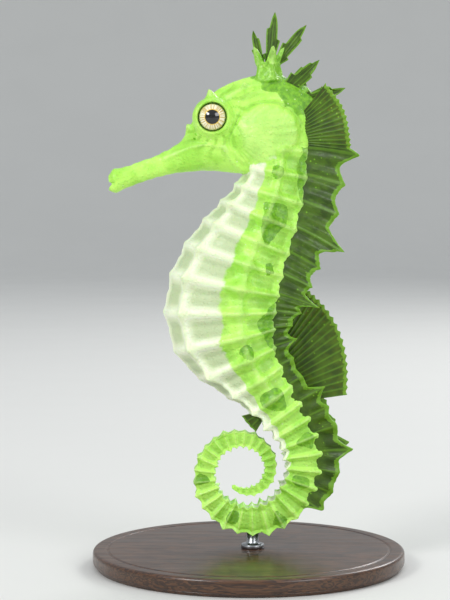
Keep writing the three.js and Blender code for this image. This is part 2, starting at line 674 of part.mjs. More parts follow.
// ---------------------------------------------------------------- the stand
function standBase() {
  const { radius, height, chamfer, sides } = BASE;
  const outline = [[0, 0], [radius, 0], [radius, height - chamfer], [radius - chamfer, height], [0, height]];
  const geometry = new THREE.LatheGeometry(outline.map(([x, y]) => new THREE.Vector2(x, y)), sides);
  return solid(geometry.rotateX(Math.PI / 2));
}

// The lowest point of the coil, which the rod holds.
let lowest = skinAt(COIL_START, 0);
for (let s = COIL_START; s < BODY_LENGTH; s += LINE_STEP) {
  const p = skinAt(s, 0);
  if (p.z < lowest.z) lowest = p;
}

function rod(grow = 0) {
  const [bottom, top] = [BASE.height + GAP - grow, lowest.z + ROD.bite + grow];
  const geometry = new THREE.CylinderGeometry(ROD.radius + grow, ROD.radius + grow, top - bottom, ROD.sides);
  return solid(geometry.rotateX(Math.PI / 2).translate(lowest.x, 0, (top + bottom) / 2));
}

// ---------------------------------------------------------------- the model
const seahorse = new THREE.Group();
function add(name, manifold, material) {
  const mesh = new THREE.Mesh(geometryOf(manifold), material);
  mesh.name = name;
  seahorse.add(mesh);
}

const skin = finish(SKIN, 0.55);
const belly = finish(BELLY, 0.55);
const fins = finish(OLIVE, 0.5);
const eyes = finish(EYE_DARK, 0.1);

add("head", head(), skin);
add("snout", snout(), skin);
add("coronet", coronet(), fins);
for (const [name, side] of [["left", 1], ["right", -1]]) {
  add("eye_" + name, solid(eyeball(side)), eyes);
  add("gill_cover_" + name, gillCover(side), skin);
  add("pectoral_fin_" + name, pectoralFin(side), fins);
}

add("neck", neck(), skin);
["trunk_upper", "trunk_middle", "trunk_lower"].forEach((name, i) => {
  const piece = trunkPiece(TRUNK_CUTS[i], TRUNK_CUTS[i + 1]);
  add(name, i === 0 ? behindHead(piece) : piece, belly);
});
for (let i = 0; i + 1 < TAIL_CUTS.length; i++) {
  const piece = tailPiece(TAIL_CUTS[i], TAIL_CUTS[i + 1]).subtract(rod(GAP));
  add("tail_" + (i + 1), piece, skin);
}
add("dorsal_fin", fan(DORSAL.rays, 2, dorsalRay), fins);
add("anal_fin", analFin(), fins);
add("stand_base", standBase(), finish(WALNUT, 0.45));
add("stand_rod", rod(), finish(STEEL, 0.3, 1));

export default seahorse;
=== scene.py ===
"""A life-size spiny seahorse on a plain round stand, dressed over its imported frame."""
import math

import bmesh
import bpy
from mathutils import Matrix, Quaternion, Vector, kdtree, noise


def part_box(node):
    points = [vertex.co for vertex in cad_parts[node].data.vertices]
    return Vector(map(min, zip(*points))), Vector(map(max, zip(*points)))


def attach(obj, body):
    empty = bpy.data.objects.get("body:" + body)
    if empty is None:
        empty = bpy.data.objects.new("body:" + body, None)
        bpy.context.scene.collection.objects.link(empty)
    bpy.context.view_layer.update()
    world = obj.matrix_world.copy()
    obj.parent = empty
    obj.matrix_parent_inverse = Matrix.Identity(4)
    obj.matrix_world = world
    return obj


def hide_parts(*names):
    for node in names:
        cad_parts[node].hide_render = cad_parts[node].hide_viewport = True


bl_info = {
    "name": "Seahorse on a Stand",
    "version": (1, 0, 0),
    "blender": (4, 5, 0),
    "location": "View3D > Sidebar > Seahorse",
    "description": "Models a spiny seahorse's skin, eyes, mane, fins and display stand",
    "category": "Add Mesh",
}

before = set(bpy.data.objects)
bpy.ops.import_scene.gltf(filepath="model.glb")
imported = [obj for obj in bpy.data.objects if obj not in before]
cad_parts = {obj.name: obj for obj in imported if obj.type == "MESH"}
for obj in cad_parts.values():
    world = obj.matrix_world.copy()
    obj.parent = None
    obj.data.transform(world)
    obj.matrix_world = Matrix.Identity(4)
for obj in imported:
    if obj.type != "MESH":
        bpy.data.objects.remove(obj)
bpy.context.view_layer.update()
MM = 0.001

# ---- the animal's plan, in millimetres
HEAD_LENGTH = 43.0  # from the mouth to the back of the gill cover
HEAD_TILT = math.radians(19)
MOUTH = Vector((-27.5, 0, 76.1))
NAPE = (36.5, 4.0)  # where the body's centre line starts, along and up in the head
NECK_START = 6.5
TRUNK_START = 11.0
TRUNK_RINGS = 11
TAIL_START = 63.0
TAIL_RINGS = 37
TAIL_RING_RATIO = 0.9725
COIL_START = 74.5
COIL_LENGTH = 64.0
COIL_WIDE = 12.4  # the coil's radius where it starts
COIL_TIGHT = 3.9  # its radius at the tip of the tail
BODY_LENGTH = COIL_START + COIL_LENGTH
LINE_STEP = 0.25
FIRST_TAIL_RING = 1 + TRUNK_RINGS
TAPER = 1.45  # how sharply spines and fronds narrow to their tips

EYE = {"along": 23.4, "up": 5.5, "out": 3.8, "radius": 3.3}
GILL = {"along": 32.0, "up": -1.4, "long": 6.8, "high": 6.2}


def smoothly(knots):
    """A curve through (x, y) knots that never swings past them: a monotone cubic."""
    xs = [k[0] for k in knots]
    ys = [k[1] for k in knots]
    chords = [(ys[i + 1] - ys[i]) / (xs[i + 1] - xs[i]) for i in range(len(xs) - 1)]
    slopes = [chords[0]]
    for a, b in zip(chords, chords[1:]):
        slopes.append(0.0 if a * b <= 0 else 2 * a * b / (a + b))
    slopes.append(chords[-1])

    def curve(at):
        v = min(max(at, xs[0]), xs[-1])
        i = 0
        while i < len(xs) - 2 and v > xs[i + 1]:
            i += 1
        h = xs[i + 1] - xs[i]
        t = (v - xs[i]) / h
        t2, t3 = t * t, t * t * t
        return (
            (2 * t3 - 3 * t2 + 1) * ys[i]
            + (t3 - 2 * t2 + t) * h * slopes[i]
            + (3 * t2 - 2 * t3) * ys[i + 1]
            + (t3 - t2) * h * slopes[i + 1]
        )

    return curve


def mix(a, b, t):
    """From a to b as t goes from 0 to 1."""
    return a + (b - a) * t


def step(edge0, edge1, x):
    """0 below edge0, 1 above edge1, and smooth between."""
    t = min(max((x - edge0) / (edge1 - edge0), 0.0), 1.0)
    return t * t * (3 - 2 * t)


def bell(x, width):
    """A smooth hump, 1 at 0 and fading to either side."""
    return math.exp(-((x / width) ** 2))


def soft_max(a, b, blend):
    """The larger of two numbers, rounded off where they are nearly equal."""
    h = max(blend - abs(a - b), 0.0) / blend
    return max(a, b) + h * h * blend * 0.25


# ---- the body's centre line
POSTURE = smoothly([
    (0, -80), (8, -91), (16, -104), (26, -113), (34, -107), (43, -88),
    (50, -70), (57, -57), (63, -53), (69, -60), (COIL_START, -83),
])
COIL_RATE = (COIL_WIDE - COIL_TIGHT) / COIL_LENGTH


def heading(s):
    """The way the body runs at a distance from the nape: 0 is to the rear, and -pi/2 straight down."""
    if s <= COIL_START:
        return math.radians(POSTURE(s))
    here = COIL_TIGHT + COIL_RATE * (BODY_LENGTH - s)
    return math.radians(POSTURE(COIL_START)) - math.log(COIL_WIDE / here) / COIL_RATE


HEAD_AXIS = Vector((math.cos(HEAD_TILT), 0, math.sin(HEAD_TILT)))
HEAD_UP = Vector((-math.sin(HEAD_TILT), 0, math.cos(HEAD_TILT)))


def in_head(along, up, out=0.0):
    """A point of the head: along from the mouth, up from the snout's axis, and out along +Y."""
    return MOUTH + HEAD_AXIS * along + HEAD_UP * up + Vector((0, out, 0))


def walk_line():
    """Points of the centre line, one step apart."""
    points = [in_head(*NAPE)]
    s = LINE_STEP / 2
    while s < BODY_LENGTH:
        a = heading(s)
        points.append(points[-1] + Vector((math.cos(a), 0, math.sin(a))) * LINE_STEP)
        s += LINE_STEP
    return points


CENTRE_LINE = walk_line()


def line_at(s):
    """The centre, and the directions along the body and towards the back."""
    at = min(max(s / LINE_STEP, 0), len(CENTRE_LINE) - 1.001)
    i = int(at)
    a = heading(min(max(s, 0), BODY_LENGTH - 0.01))
    centre = CENTRE_LINE[i].lerp(CENTRE_LINE[i + 1], at - i)
    return centre, Vector((math.cos(a), 0, math.sin(a))), Vector((-math.sin(a), 0, math.cos(a)))


# ---- the body's rings and sections
TRUNK_SWELL = 0.12  # how much longer the trunk's middle ring is than an end one


def ring_edges():
    """Where each ring of the neck, trunk and tail starts, and where the last one ends."""
    edges = [NECK_START, TRUNK_START]
    swells = [1 + TRUNK_SWELL * math.sin(math.pi * (i + 0.5) / TRUNK_RINGS) for i in range(TRUNK_RINGS)]
    unit = (TAIL_START - TRUNK_START) / sum(swells)
    for each in swells:
        edges.append(edges[-1] + unit * each)
    first = (BODY_LENGTH - TAIL_START) * (1 - TAIL_RING_RATIO) / (1 - TAIL_RING_RATIO**TAIL_RINGS)
    for i in range(TAIL_RINGS):
        edges.append(edges[-1] + first * TAIL_RING_RATIO**i)
    return edges


EDGES = ring_edges()
RING_COUNT = len(EDGES) - 1
CREST_PHASE = 0.6  # where a ring stands proudest, with its spines
LAST_FROND_RING = FIRST_TAIL_RING + 7
LAST_FROND = EDGES[LAST_FROND_RING]  # where the mane ends
LONG_SPINE = 1.7  # a long spine's height over an ordinary one's


def at_ring(ring, phase):
    """The distance of a place in a ring, whose phase runs from 0 to 1."""
    return mix(EDGES[ring], EDGES[ring + 1], phase)


TAIL_DEPTH = [(80, 3.5), (97, 2.6), (115, 1.75), (130, 1.1), (BODY_LENGTH, 0.45)]
BACK_DEPTH = smoothly([
    (0, 3.6), (4, 5.4), (11, 6.3), (18, 7.0), (28, 8.2), (38, 9.0), (46, 8.2), (54, 6.2),
    (63, 4.9), (70, 4.3), *TAIL_DEPTH,
])
BELLY_DEPTH = smoothly([
    (0, 3.8), (4, 5.2), (11, 6.0), (18, 7.4), (27, 10.4), (35, 13.1), (42, 14.2), (48, 12.8),
    (53, 9.4), (58, 6.4), (63, 4.9), (70, 4.3), *TAIL_DEPTH,
])
SIDE_DEPTH = smoothly([
    (0, 3.2), (4, 4.4), (11, 5.1), (18, 5.9), (28, 7.1), (38, 7.7), (46, 7.0), (54, 5.4),
    (63, 4.5), (70, 4.0), *TAIL_DEPTH,
])
SQUARENESS = smoothly([(0, 2.0), (18, 2.1), (53, 2.2), (65, 3.2), (82, 3.6), (BODY_LENGTH, 3.2)])
RIDGE_SCALE = smoothly([
    (0, 0.5), (TRUNK_START, 0.9), (40, 1.1), (TAIL_START, 0.9), (BODY_LENGTH, 0.25),
])
# The long ridges' angles down from the back, in degrees, on the trunk and on the tail.
UPPER_RIDGE = (36.0, 45.0)
SIDE_RIDGE = 88.0
LOWER_RIDGE = (138.0, 135.0)
KEEL = 180.0


def body_row(s):
    """What the body's points at one distance share; ends is 0 where the relief has faded out."""
    centre, along, back = line_at(s)
    inside = min(max(s, NECK_START), BODY_LENGTH - 1e-4)
    ring = next(i for i in range(RING_COUNT) if EDGES[i + 1] > inside)
    tail = step(57.5, 66.5, s)
    ends = step(4.0, 8.5, s) * step(BODY_LENGTH - 0.2, BODY_LENGTH - 2.2, s)
    return {
        "s": s, "centre": centre, "along": along, "back": back,
        "back_depth": BACK_DEPTH(s), "belly_depth": BELLY_DEPTH(s), "side": SIDE_DEPTH(s),
        "power": 2 / SQUARENESS(s), "scale": RIDGE_SCALE(s),
        "ring": ring, "length": EDGES[ring + 1] - EDGES[ring],
        "from_crest": s - at_ring(ring, CREST_PHASE),
        "phase": (s - EDGES[ring]) / (EDGES[ring + 1] - EDGES[ring]),
        "tail": tail, "ends": ends,
        "upper": mix(*UPPER_RIDGE, tail), "lower": mix(*LOWER_RIDGE, tail),
    }


def section(row, angle):
    """Up and out on the body's smooth skin, and the way outwards; 0 is the back and 180 the belly."""
    c, d = math.cos(math.radians(angle)), math.sin(math.radians(angle))
    depth = row["back_depth"] if c > 0 else row["belly_depth"]
    up = math.copysign(abs(c) ** row["power"], c) * depth
    out = math.copysign(abs(d) ** row["power"], d) * row["side"]
    away = Vector((up / depth**2, out / row["side"] ** 2))
    away.normalize()
    return up, out, away


def body_point(row, angle, lift=0.0):
    """A point of the body; angles under 180 are on the animal's left, which is -Y."""
    up, out, away = section(row, angle)
    return row["centre"] + row["back"] * (up + away.x * lift) + Vector((0, -(out + away.y * lift), 0))


def is_long(ring):
    """Every third ring has long spines and a tall frond."""
    return ring % 3 == 0


def relief(row, angle, sizes):
    """How far the skin stands off the smooth body: ring bars, long ridges, sunken plates and spines."""
    folded = min(angle, 360 - angle)
    up, out, _ = section(row, folded)
    reach = math.hypot(up, out)
    degree = math.radians(1) * reach  # how many millimetres a degree is here
    trunk = 1 - row["tail"]
    taller = LONG_SPINE if is_long(row["ring"]) else 1.0
    past_mane = step(LAST_FROND, LAST_FROND + 3, row["s"])
    ridges = (
        # angle, strength, and the height of the spine where a bar crosses it
        (row["upper"], 1.0, mix(0.35, taller, past_mane)),
        (SIDE_RIDGE, trunk, 1.25 * taller),
        (row["lower"], 1.0, 1.2 * taller),
        (KEEL, 0.7 * trunk, 0.35),
    )
    front = step(125, 165, folded) * trunk
    lattice = bell(row["from_crest"], row["length"] * 0.16) * (1 - 0.25 * front)
    spike = 0.0
    width = 0.085 * reach + 0.16
    for place, strength, height in ridges:
        across = (folded - place) * degree
        lattice = 1 - (1 - lattice) * (1 - 0.92 * strength * bell(across, width))
        tall = height * strength * row["scale"] * sizes.spine_height / MM
        foot = 0.5 * tall + 0.95 * row["scale"]
        away = math.hypot(row["from_crest"], across) / foot
        if away < 1:
            spike = max(spike, tall * ((1 - away) ** TAPER))
    edge = min(row["phase"], 1 - row["phase"]) * row["length"]
    crease = bell(edge, 0.07 * row["length"] + 0.05)
    fin_foot = bell(folded * degree, 1.0) * step(50.5, 52.5, row["s"]) * step(66.5, 64.5, row["s"])
    lift = -0.5 + 0.85 * lattice - 0.22 * crease
    rise = lift * sizes.ring_relief / MM * row["scale"] + spike + 0.35 * fin_foot
    return rise * row["ends"], lattice


# ---- the head's surface
HEAD_TOP = smoothly([
    (0, 1.5), (1.3, 2.35), (3.2, 2.05), (7.5, 1.95), (12, 2.2), (15.5, 2.9), (18, 4.5), (21, 7.3),
    (24, 9.3), (27.5, 10.3), (31.5, 10.7), (35.5, 10.3), (39.5, 8.3), (HEAD_LENGTH, 5.0),
])
HEAD_BOTTOM = smoothly([
    (0, 1.4), (1.3, 2.35), (3.2, 2.05), (7.5, 1.95), (12, 2.3), (15.5, 3.0), (18.5, 3.8), (21, 4.8),
    (24, 6.2), (27.5, 7.8), (31.5, 8.9), (35.5, 8.4), (39.5, 6.0), (HEAD_LENGTH, 3.2),
])
HEAD_SIDE = smoothly([
    (0, 1.3), (1.3, 2.05), (3.2, 1.8), (7.5, 1.7), (12, 1.9), (15.5, 2.4), (18.5, 3.3), (21.5, 4.2),
    (26, 5.0), (31, 5.6), (35.5, 5.5), (40, 4.6), (HEAD_LENGTH, 3.0),
])
CROWN_TAPER = 0.42  # how much narrower the crown is than the cheeks

# How far out the skin reaches round an eye's opening, by the distance from the middle of the eye.
LID = smoothly([(0, 3.0), (1.9, 3.3), (2.5, 4.3), (2.78, 5.3), (2.98, 5.95), (3.15, 6.12), (3.5, 6.1)])
LID_ZONE = (2.2, 3.05, 3.7)  # the lid's inner edge, its crest, and where the finer mesh round it ends
TURRET_ROOT = 1.0  # how far out the middle lies that an eye's turret is pushed from
TURRET_SKIN = 0.6  # how far the turret's skin lies off the eyeball
TURRET_BLEND = 3.4  # how widely the turret runs into the head

HEAD_SPINES = (
    # along, up, out, the lean up and out, the radius of the foot and the length
    (18.4, 4.6, 0.0, 0.9, 0.0, 1.35, 1.9),  # nose
    (24.6, 9.3, 3.3, 0.85, 0.5, 1.6, 2.3),  # over the eye
    (27.2, -6.8, 3.1, -0.8, 0.5, 1.25, 1.7),  # cheek
    (36.8, -7.0, 2.4, -0.85, 0.5, 1.2, 1.6),  # shoulder
    (31.4, 9.0, 2.6, 0.75, 0.65, 1.25, 1.4),  # temple
)
SKULL_RIDGES = (
    # height, half width, and the points that each runs through, along and up
    (0.34, 0.5, ((12.0, 0.9), (17.5, 1.3), (21.0, 0.9), (24.6, -1.6), (26.4, -5.6))),
    (0.4, 0.55, ((26.8, 8.0), (31.4, 8.8), (35.0, 8.2))),
    (0.36, 0.5, ((27.5, 4.4), (32.0, 5.7), (37.0, 4.6))),
)
NOSTRILS = ((18.9, 2.7), (19.9, 3.6))
GILL_CORNER = (25.2, 1.2)  # where the gill cover's fine lines fan out from


def off_line(along, up, points):
    """How far a point of the head lies, seen from the side, from a line through some points."""
    nearest = math.inf
    for (x0, y0), (x1, y1) in zip(points, points[1:]):
        dx, dy = x1 - x0, y1 - y0
        t = min(max(((along - x0) * dx + (up - y0) * dy) / (dx * dx + dy * dy), 0.0), 1.0)
        nearest = min(nearest, math.hypot(along - x0 - t * dx, up - y0 - t * dy))
    return nearest


def eye_rays(along, up):
    """Dark lines that spread over the cheek and the brow from the eye, from 0 to 1."""
    ahead, above = along - EYE["along"], up - EYE["up"]
    r = math.hypot(ahead, above)
    turn = math.atan2(above, ahead)
    bent = turn + 0.12 * math.sin(r * 1.1)
    wide = 0.5 + 0.5 * math.cos(17 * bent)
    return step(0.62, 0.86, wide) * step(3.7, 4.6, r) * step(9.5, 5.5, r)


def head_features(along, up, out, angle):
    """What stands off the plain head: ridges, gill cover, nostrils and folds."""
    rise = 0.0
    # the ridge down the middle of the forehead and the brows beside it
    if angle < 90:
        rise += 0.28 * bell(out, 0.42) * step(15.5, 18.5, along) * step(33, 27, along)
        rise += 0.32 * bell(out - 2.7, 0.55) * step(17.5, 20.5, along) * step(30.5, 27, along)
        rise -= 0.22 * bell(out - 1.35, 0.7) * step(18, 21, along) * step(30, 27, along)
    # the gill cover: a low dome in a groove, with fine lines that fan out from its front corner
    e = math.hypot((along - GILL["along"]) / GILL["long"], (up - GILL["up"]) / GILL["high"])
    rear = step(25.5, 30, along)
    if e < 1:
        rise += 0.7 * math.sqrt(1 - e * e) * (0.35 + 0.65 * rear)
        ahead, above = along - GILL_CORNER[0], up - GILL_CORNER[1]
        spread = 0.1 * math.cos(44 * math.atan2(above, ahead))
        rise += spread * step(1.0, 0.86, e) * step(2.2, 4.5, math.hypot(above, ahead))
    rise -= 0.6 * bell(e - 1.07, 0.06) * mix(0.5, 1, rear)
    rise += 0.3 * bell(e - 1.2, 0.07) * step(31, 27, along) * step(3.5, 0.5, up)
    # the skull's ridges, and the hollow between them behind the eye
    for high, wide, points in SKULL_RIDGES:
        rise += high * bell(off_line(along, up, points), wide)
    rise -= 0.4 * bell(math.hypot((along - 31.5) / 3.4, (up - 7.2) / 1.1), 1.0)
    # the small gill opening at the upper rear of the cover
    rise -= 0.75 * bell(along - 37.4, 0.75) * bell(up - 2.9, 0.32)
    # the nostrils, a rim round a pit, just ahead of each eye
    for a, u in NOSTRILS:
        d = math.hypot(along - a, up - u)
        rise += 0.12 * bell(d - 0.42, 0.15) - 0.5 * bell(d, 0.24)
    # low bands round the snout, and the bony line along each side of it
    on_snout = step(2.4, 4.0, along) * step(17, 13.5, along)
    rise += on_snout * (0.045 * math.cos(along * 3.1) + 0.1 * bell((angle - 62) / 13, 1))
    return rise


def round_eye(along, up, out):
    """Pushes a point of the skin out over the eyeball as a turret, and in again in its opening."""
    ahead, above, aside = along - EYE["along"], up - EYE["up"], out - TURRET_ROOT
    away = math.sqrt(ahead**2 + above**2 + aside**2)
    if away > 9:
        return along, up, out
    deep = EYE["out"] - TURRET_ROOT
    shell = EYE["radius"] + TURRET_SKIN
    along_out = deep * aside / away
    reach = along_out + math.sqrt(along_out**2 - deep**2 + shell**2)
    push = mix(1.0, soft_max(away, reach, TURRET_BLEND) / away, step(0.0, 1.7, out))
    ahead, above, aside = ahead * push, above * push, aside * push
    r = math.hypot(ahead, above)
    turn = math.atan2(above, ahead)
    out = TURRET_ROOT + aside
    if aside > 0:
        out += 0.06 * math.cos(24 * turn) * bell(r - 3.9, 0.5)
        out += 0.07 * math.cos((r - 3.0) * 2 * math.pi / 0.5) * step(3.0, 3.3, r) * step(5.2, 4.0, r)
    if r < 3.4 and aside > 0:
        out = min(out, LID(r))
    return EYE["along"] + ahead, EYE["up"] + above, out


def head_shape(along, angle, shrink):
    """Along, up, out and the relief on the head, for an angle from 0, the crown, to 180, the chin."""
    c, d = math.cos(math.radians(angle)), math.sin(math.radians(angle))
    high = HEAD_TOP(along) if c > 0 else HEAD_BOTTOM(along)
    narrow = 1 - CROWN_TAPER * step(14, 21, along) * max(0.0, c) ** 1.5
    wide = HEAD_SIDE(along) * narrow
    up, out = c * high * shrink, d * wide * shrink
    away = Vector((up / high**2, out / wide**2 + 1e-6))
    away.normalize()
    if shrink < 1:
        return along, up, out, 0.0
    rise = head_features(along, up, out, angle)
    up += away.x * rise
    out += away.y * rise
    along, up, out = round_eye(along, up, out)
    return along, up, out, rise


def slant(along, angle):
    """The mouth opens forward and a little up, so the lower lip stands ahead of the upper."""
    share = step(5.0, 0.6, along)
    notch = bell(angle - 104, 17) * step(1.6, 0.0, along)
    return share * 0.5 * math.cos(math.radians(angle)) + 0.95 * notch


# Pairs of a distance, along the head or past its end, and how much the section is shrunk there.
THROAT = (
    (3.0, 0.0), (3.0, 0.3), (2.2, 0.42), (1.4, 0.5), (0.8, 0.56), (0.38, 0.64), (0.12, 0.75), (0.0, 0.9),
)
HEAD_END = ((0.0, 1.0), (0.3, 0.85), (0.5, 0.5), (0.55, 0.0))
HEAD_SPACING = smoothly([
    (0, 0.2), (1.5, 0.22), (3, 0.42), (15, 0.42), (19, 0.16), (27.5, 0.16), (30, 0.26),
    (HEAD_LENGTH, 0.34),
])


def head_stations():
    """The head's rows, from the throat out over the lips and back to the nape."""
    rows = list(THROAT)
    at = 0.0
    while at < HEAD_LENGTH:
        rows.append((at, 1.0))
        at += HEAD_SPACING(at)
    return rows + [(HEAD_LENGTH + past, shrink) for past, shrink in HEAD_END]


# ---- mesh helpers
def sheet(columns, rows, tints):
    """A flat grid of faces, and each vertex with its column and row."""
    bm = bmesh.new()
    for name in tints:
        bm.verts.layers.float.new(name)
    bmesh.ops.create_grid(bm, x_segments=columns, y_segments=rows, size=0.5)
    where = [(v, round((v.co.x + 0.5) * columns), round((v.co.y + 0.5) * rows)) for v in bm.verts]
    return bm, where


def rolled(columns, rows, place):
    """A closed tube rolled up from a grid; place(row, column) gives each vertex and its tints."""
    bm, where = sheet(columns, rows, TINTS)
    layers = {name: bm.verts.layers.float[name] for name in TINTS}
    for v, column, row in where:
        v.co, tints = place(row, column % columns)
        for name, value in tints.items():
            v[layers[name]] = value
    bmesh.ops.remove_doubles(bm, verts=bm.verts, dist=1e-4)
    bmesh.ops.recalc_face_normals(bm, faces=bm.faces)
    return bm


def made_object(bm, name, materials):
    """A smooth object from a bmesh, which is used up."""
    mesh = bpy.data.meshes.new(name)
    bm.to_mesh(mesh)
    bm.free()
    mesh.shade_smooth()
    for material in materials:
        mesh.materials.append(material)
    made = bpy.data.objects.new(name, mesh)
    bpy.context.scene.collection.objects.link(made)
    return made


def finished(bm, name, material, replaced=()):
    """Turns a bmesh in millimetres into a piece in metres that rides on the model."""
    bmesh.ops.scale(bm, vec=(MM, MM, MM), verts=bm.verts)
    piece = made_object(bm, name, [material])
    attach(piece, "root")
    if replaced:
        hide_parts(*replaced)


# ---- the skin
# height is how proud the skin stands; the skin's colour paints a highlight where it is high and shade
# where it is low
TINTS = ("belly", "blotch", "height", "inside", "line")

# How far down from the back the pale belly starts, in degrees.
BELLY_EDGE = smoothly([
    (0, 152), (6, 132), (14, 114), (26, 106), (42, 103), (52, 107), (60, 115), (70, 124),
    (82, 138), (92, 164), (97, 190),
])
# How far down from the back the darker green runs, in degrees.
SADDLE_EDGE = smoothly([
    (0, 80), (5, 66), (9, 48), (13, 60), (17, 44), (21, 27), (30, 26), (36, 31), (41, 50), (46, 62),
    (50, 52), (55, 30), (64, 27), (74, 36), (82, 26), (92, 30), (100, 12), (110, 0),
])
BLOTCHES = (
    # the distance and angle of each one's middle, half its length in mm and half its width in degrees
    (23.0, 77, 3.9, 19), (61.5, 88, 2.6, 17), (32.0, 60, 1.5, 6), (50.5, 86, 1.8, 8),
    (13.5, 92, 1.3, 9), (71.5, 76, 1.4, 18), (79.5, 96, 1.2, 20), (88.0, 70, 1.3, 24),
    (97.0, 92, 1.1, 26), (107.0, 74, 1.0, 30),
)


def body_tints(row, folded, point, lattice):
    """How pale, how dark and how proud the skin is at a point of the body."""
    wander = noise.noise(point * 0.32) * 7 + noise.noise(point * 1.1) * 2.5
    belly = step(-2.4, 2.4, folded + wander * 0.6 - BELLY_EDGE(row["s"]))
    blotch = step(4, -4, folded + wander - SADDLE_EDGE(row["s"]))
    for s, angle, long, wide in BLOTCHES:
        lean = (row["s"] - s) / long
        away = math.hypot(lean, (folded - angle) / (wide * (1 - 0.35 * lean)))
        blotch = max(blotch, step(1.12, 0.88, away + noise.noise(point * 0.32) * 0.35))
    return {"belly": belly, "blotch": blotch * (1 - belly), "height": lattice}


SECTOR_COLUMNS = (11, 17, 17, 14)  # from the back to the upper, side and lower ridges and the keel
BODY_COLUMNS = 2 * sum(SECTOR_COLUMNS)
BODY_START = (0.0, 0.0, 1.0, 2.0, 3.0, 4.0, 5.0, 5.8)  # rows ahead of the first ring
RING_ROWS = (
    # the first ring past some like ones, and the rows in each of them
    (FIRST_TAIL_RING, 15), (FIRST_TAIL_RING + 22, 10), (RING_COUNT, 5),
)


def column_angle(column, row):
    """Columns crowd towards the ridges."""
    half = BODY_COLUMNS // 2
    folded = column if column <= half else BODY_COLUMNS - column
    marks = (0.0, row["upper"], SIDE_RIDGE, row["lower"], KEEL)
    for count, start, end in zip(SECTOR_COLUMNS, marks, marks[1:]):
        if folded <= count:
            t = folded / count
            angle = mix(start, end, t - 0.45 * math.sin(2 * math.pi * t) / (2 * math.pi))
            return angle if column <= half else (360 - angle) % 360
        folded -= count
    raise ValueError("a column lies past the keel")


def body_mesh(sizes):
    """The neck, trunk and tail as one closed tube."""
    distances = list(BODY_START)
    for ring in range(RING_COUNT):
        count = next(count for end, count in RING_ROWS if ring < end)
        distances += [at_ring(ring, i / count) for i in range(count)]
    distances += [BODY_LENGTH, BODY_LENGTH]
    rows = [body_row(s) for s in distances]
    last = len(rows) - 1

    def place(row, column):
        here = rows[row]
        if row == 0:
            return here["centre"], {}
        if row == last:
            return here["centre"] + here["along"] * 0.35, {"height": 1.0}
        angle = column_angle(column, here)
        lift, lattice = relief(here, angle, sizes)
        point = body_point(here, angle, lift)
        fine = noise.noise(point * 1.7) * 0.05 + noise.noise(point * 0.5) * 0.08
        point = body_point(here, angle, lift + fine * here["scale"])
        return point, body_tints(here, min(angle, 360 - angle), point, lattice)

    return rolled(BODY_COLUMNS, last, place)


HEAD_COLUMNS = 160
HEAD_ANGLE = smoothly([(0, 0), (0.08, 10), (0.5, 66), (0.76, 116), (1, 180)])


def head_mesh():
    """The head and snout as one closed tube that turns in at the mouth."""
    stations = head_stations()
    last = len(stations) - 1
    half = HEAD_COLUMNS // 2

    def place(row, column):
        along, shrink = stations[row]
        side = 1 if column <= half else -1
        folded = column if column <= half else HEAD_COLUMNS - column
        angle = HEAD_ANGLE(folded / half)
        a, u, o, rise = head_shape(along, angle, shrink)
        fade = 1.0 if shrink == 1 else 0.6  # the throat slants less than the lips
        point = in_head(a + fade * slant(along, angle), u, -side * o)
        push = Vector()
        for sa, su, so, lean_up, lean_out, foot, length in HEAD_SPINES:
            away = (point - in_head(sa, su, -side * so)).length / foot
            if away < 1 and shrink == 1:
                lean = HEAD_UP * lean_up + Vector((0, -side * lean_out, 0))
                push += lean * (length * (1 - away) ** 1.5)
        fine = noise.noise(point * 1.6) * 0.05 + noise.noise(point * 0.45) * 0.1
        outward = (HEAD_UP * u + Vector((0, -side * o, 0))).normalized()
        point += push + outward * (fine if shrink == 1 else 0)
        wander = noise.noise(point * 0.3) * 2.2 + noise.noise(point * 0.9) * 0.8
        crown = step(-1.2, 1.2, a + 0.55 * u + wander - 39.5) * max(step(-2, 1, u), step(41, 42.6, a))
        throat = step(-1.0, 1.0, a * 0.25 - u + wander * 0.3 - 13.6) * step(37, 33.5, a)
        # proud on ridges and spines, low in grooves: this paints highlight and shade into the head's
        # colour
        height = min(1.0, 0.42 + 1.2 * rise + step(0.0, 0.6, push.length) * 0.5)
        # the rows turned in at the mouth, which are painted near-black as shade
        inside = (1 - step(0.5, 0.8, shrink)) * (along < 5)
        return point, {
            "belly": throat, "blotch": crown * (1 - throat), "height": height,
            "inside": inside, "line": eye_rays(a, u) * (1 - throat),
        }

    return rolled(HEAD_COLUMNS, last, place)


CROWN_LEAN = Quaternion((0, 1, 0), math.radians(17))
CROWN_UP = CROWN_LEAN @ HEAD_UP
CROWN_ACROSS = CROWN_LEAN @ HEAD_AXIS
CROWN_FOOT = in_head(36.0, 8.2)
CROWN_HEIGHT = 5.0
CROWN_RADIUS = 2.8
CROWN_WAIST = smoothly([(0, 1.2), (0.2, 1.0), (0.5, 0.82), (0.75, 0.8), (1, 0.98)])


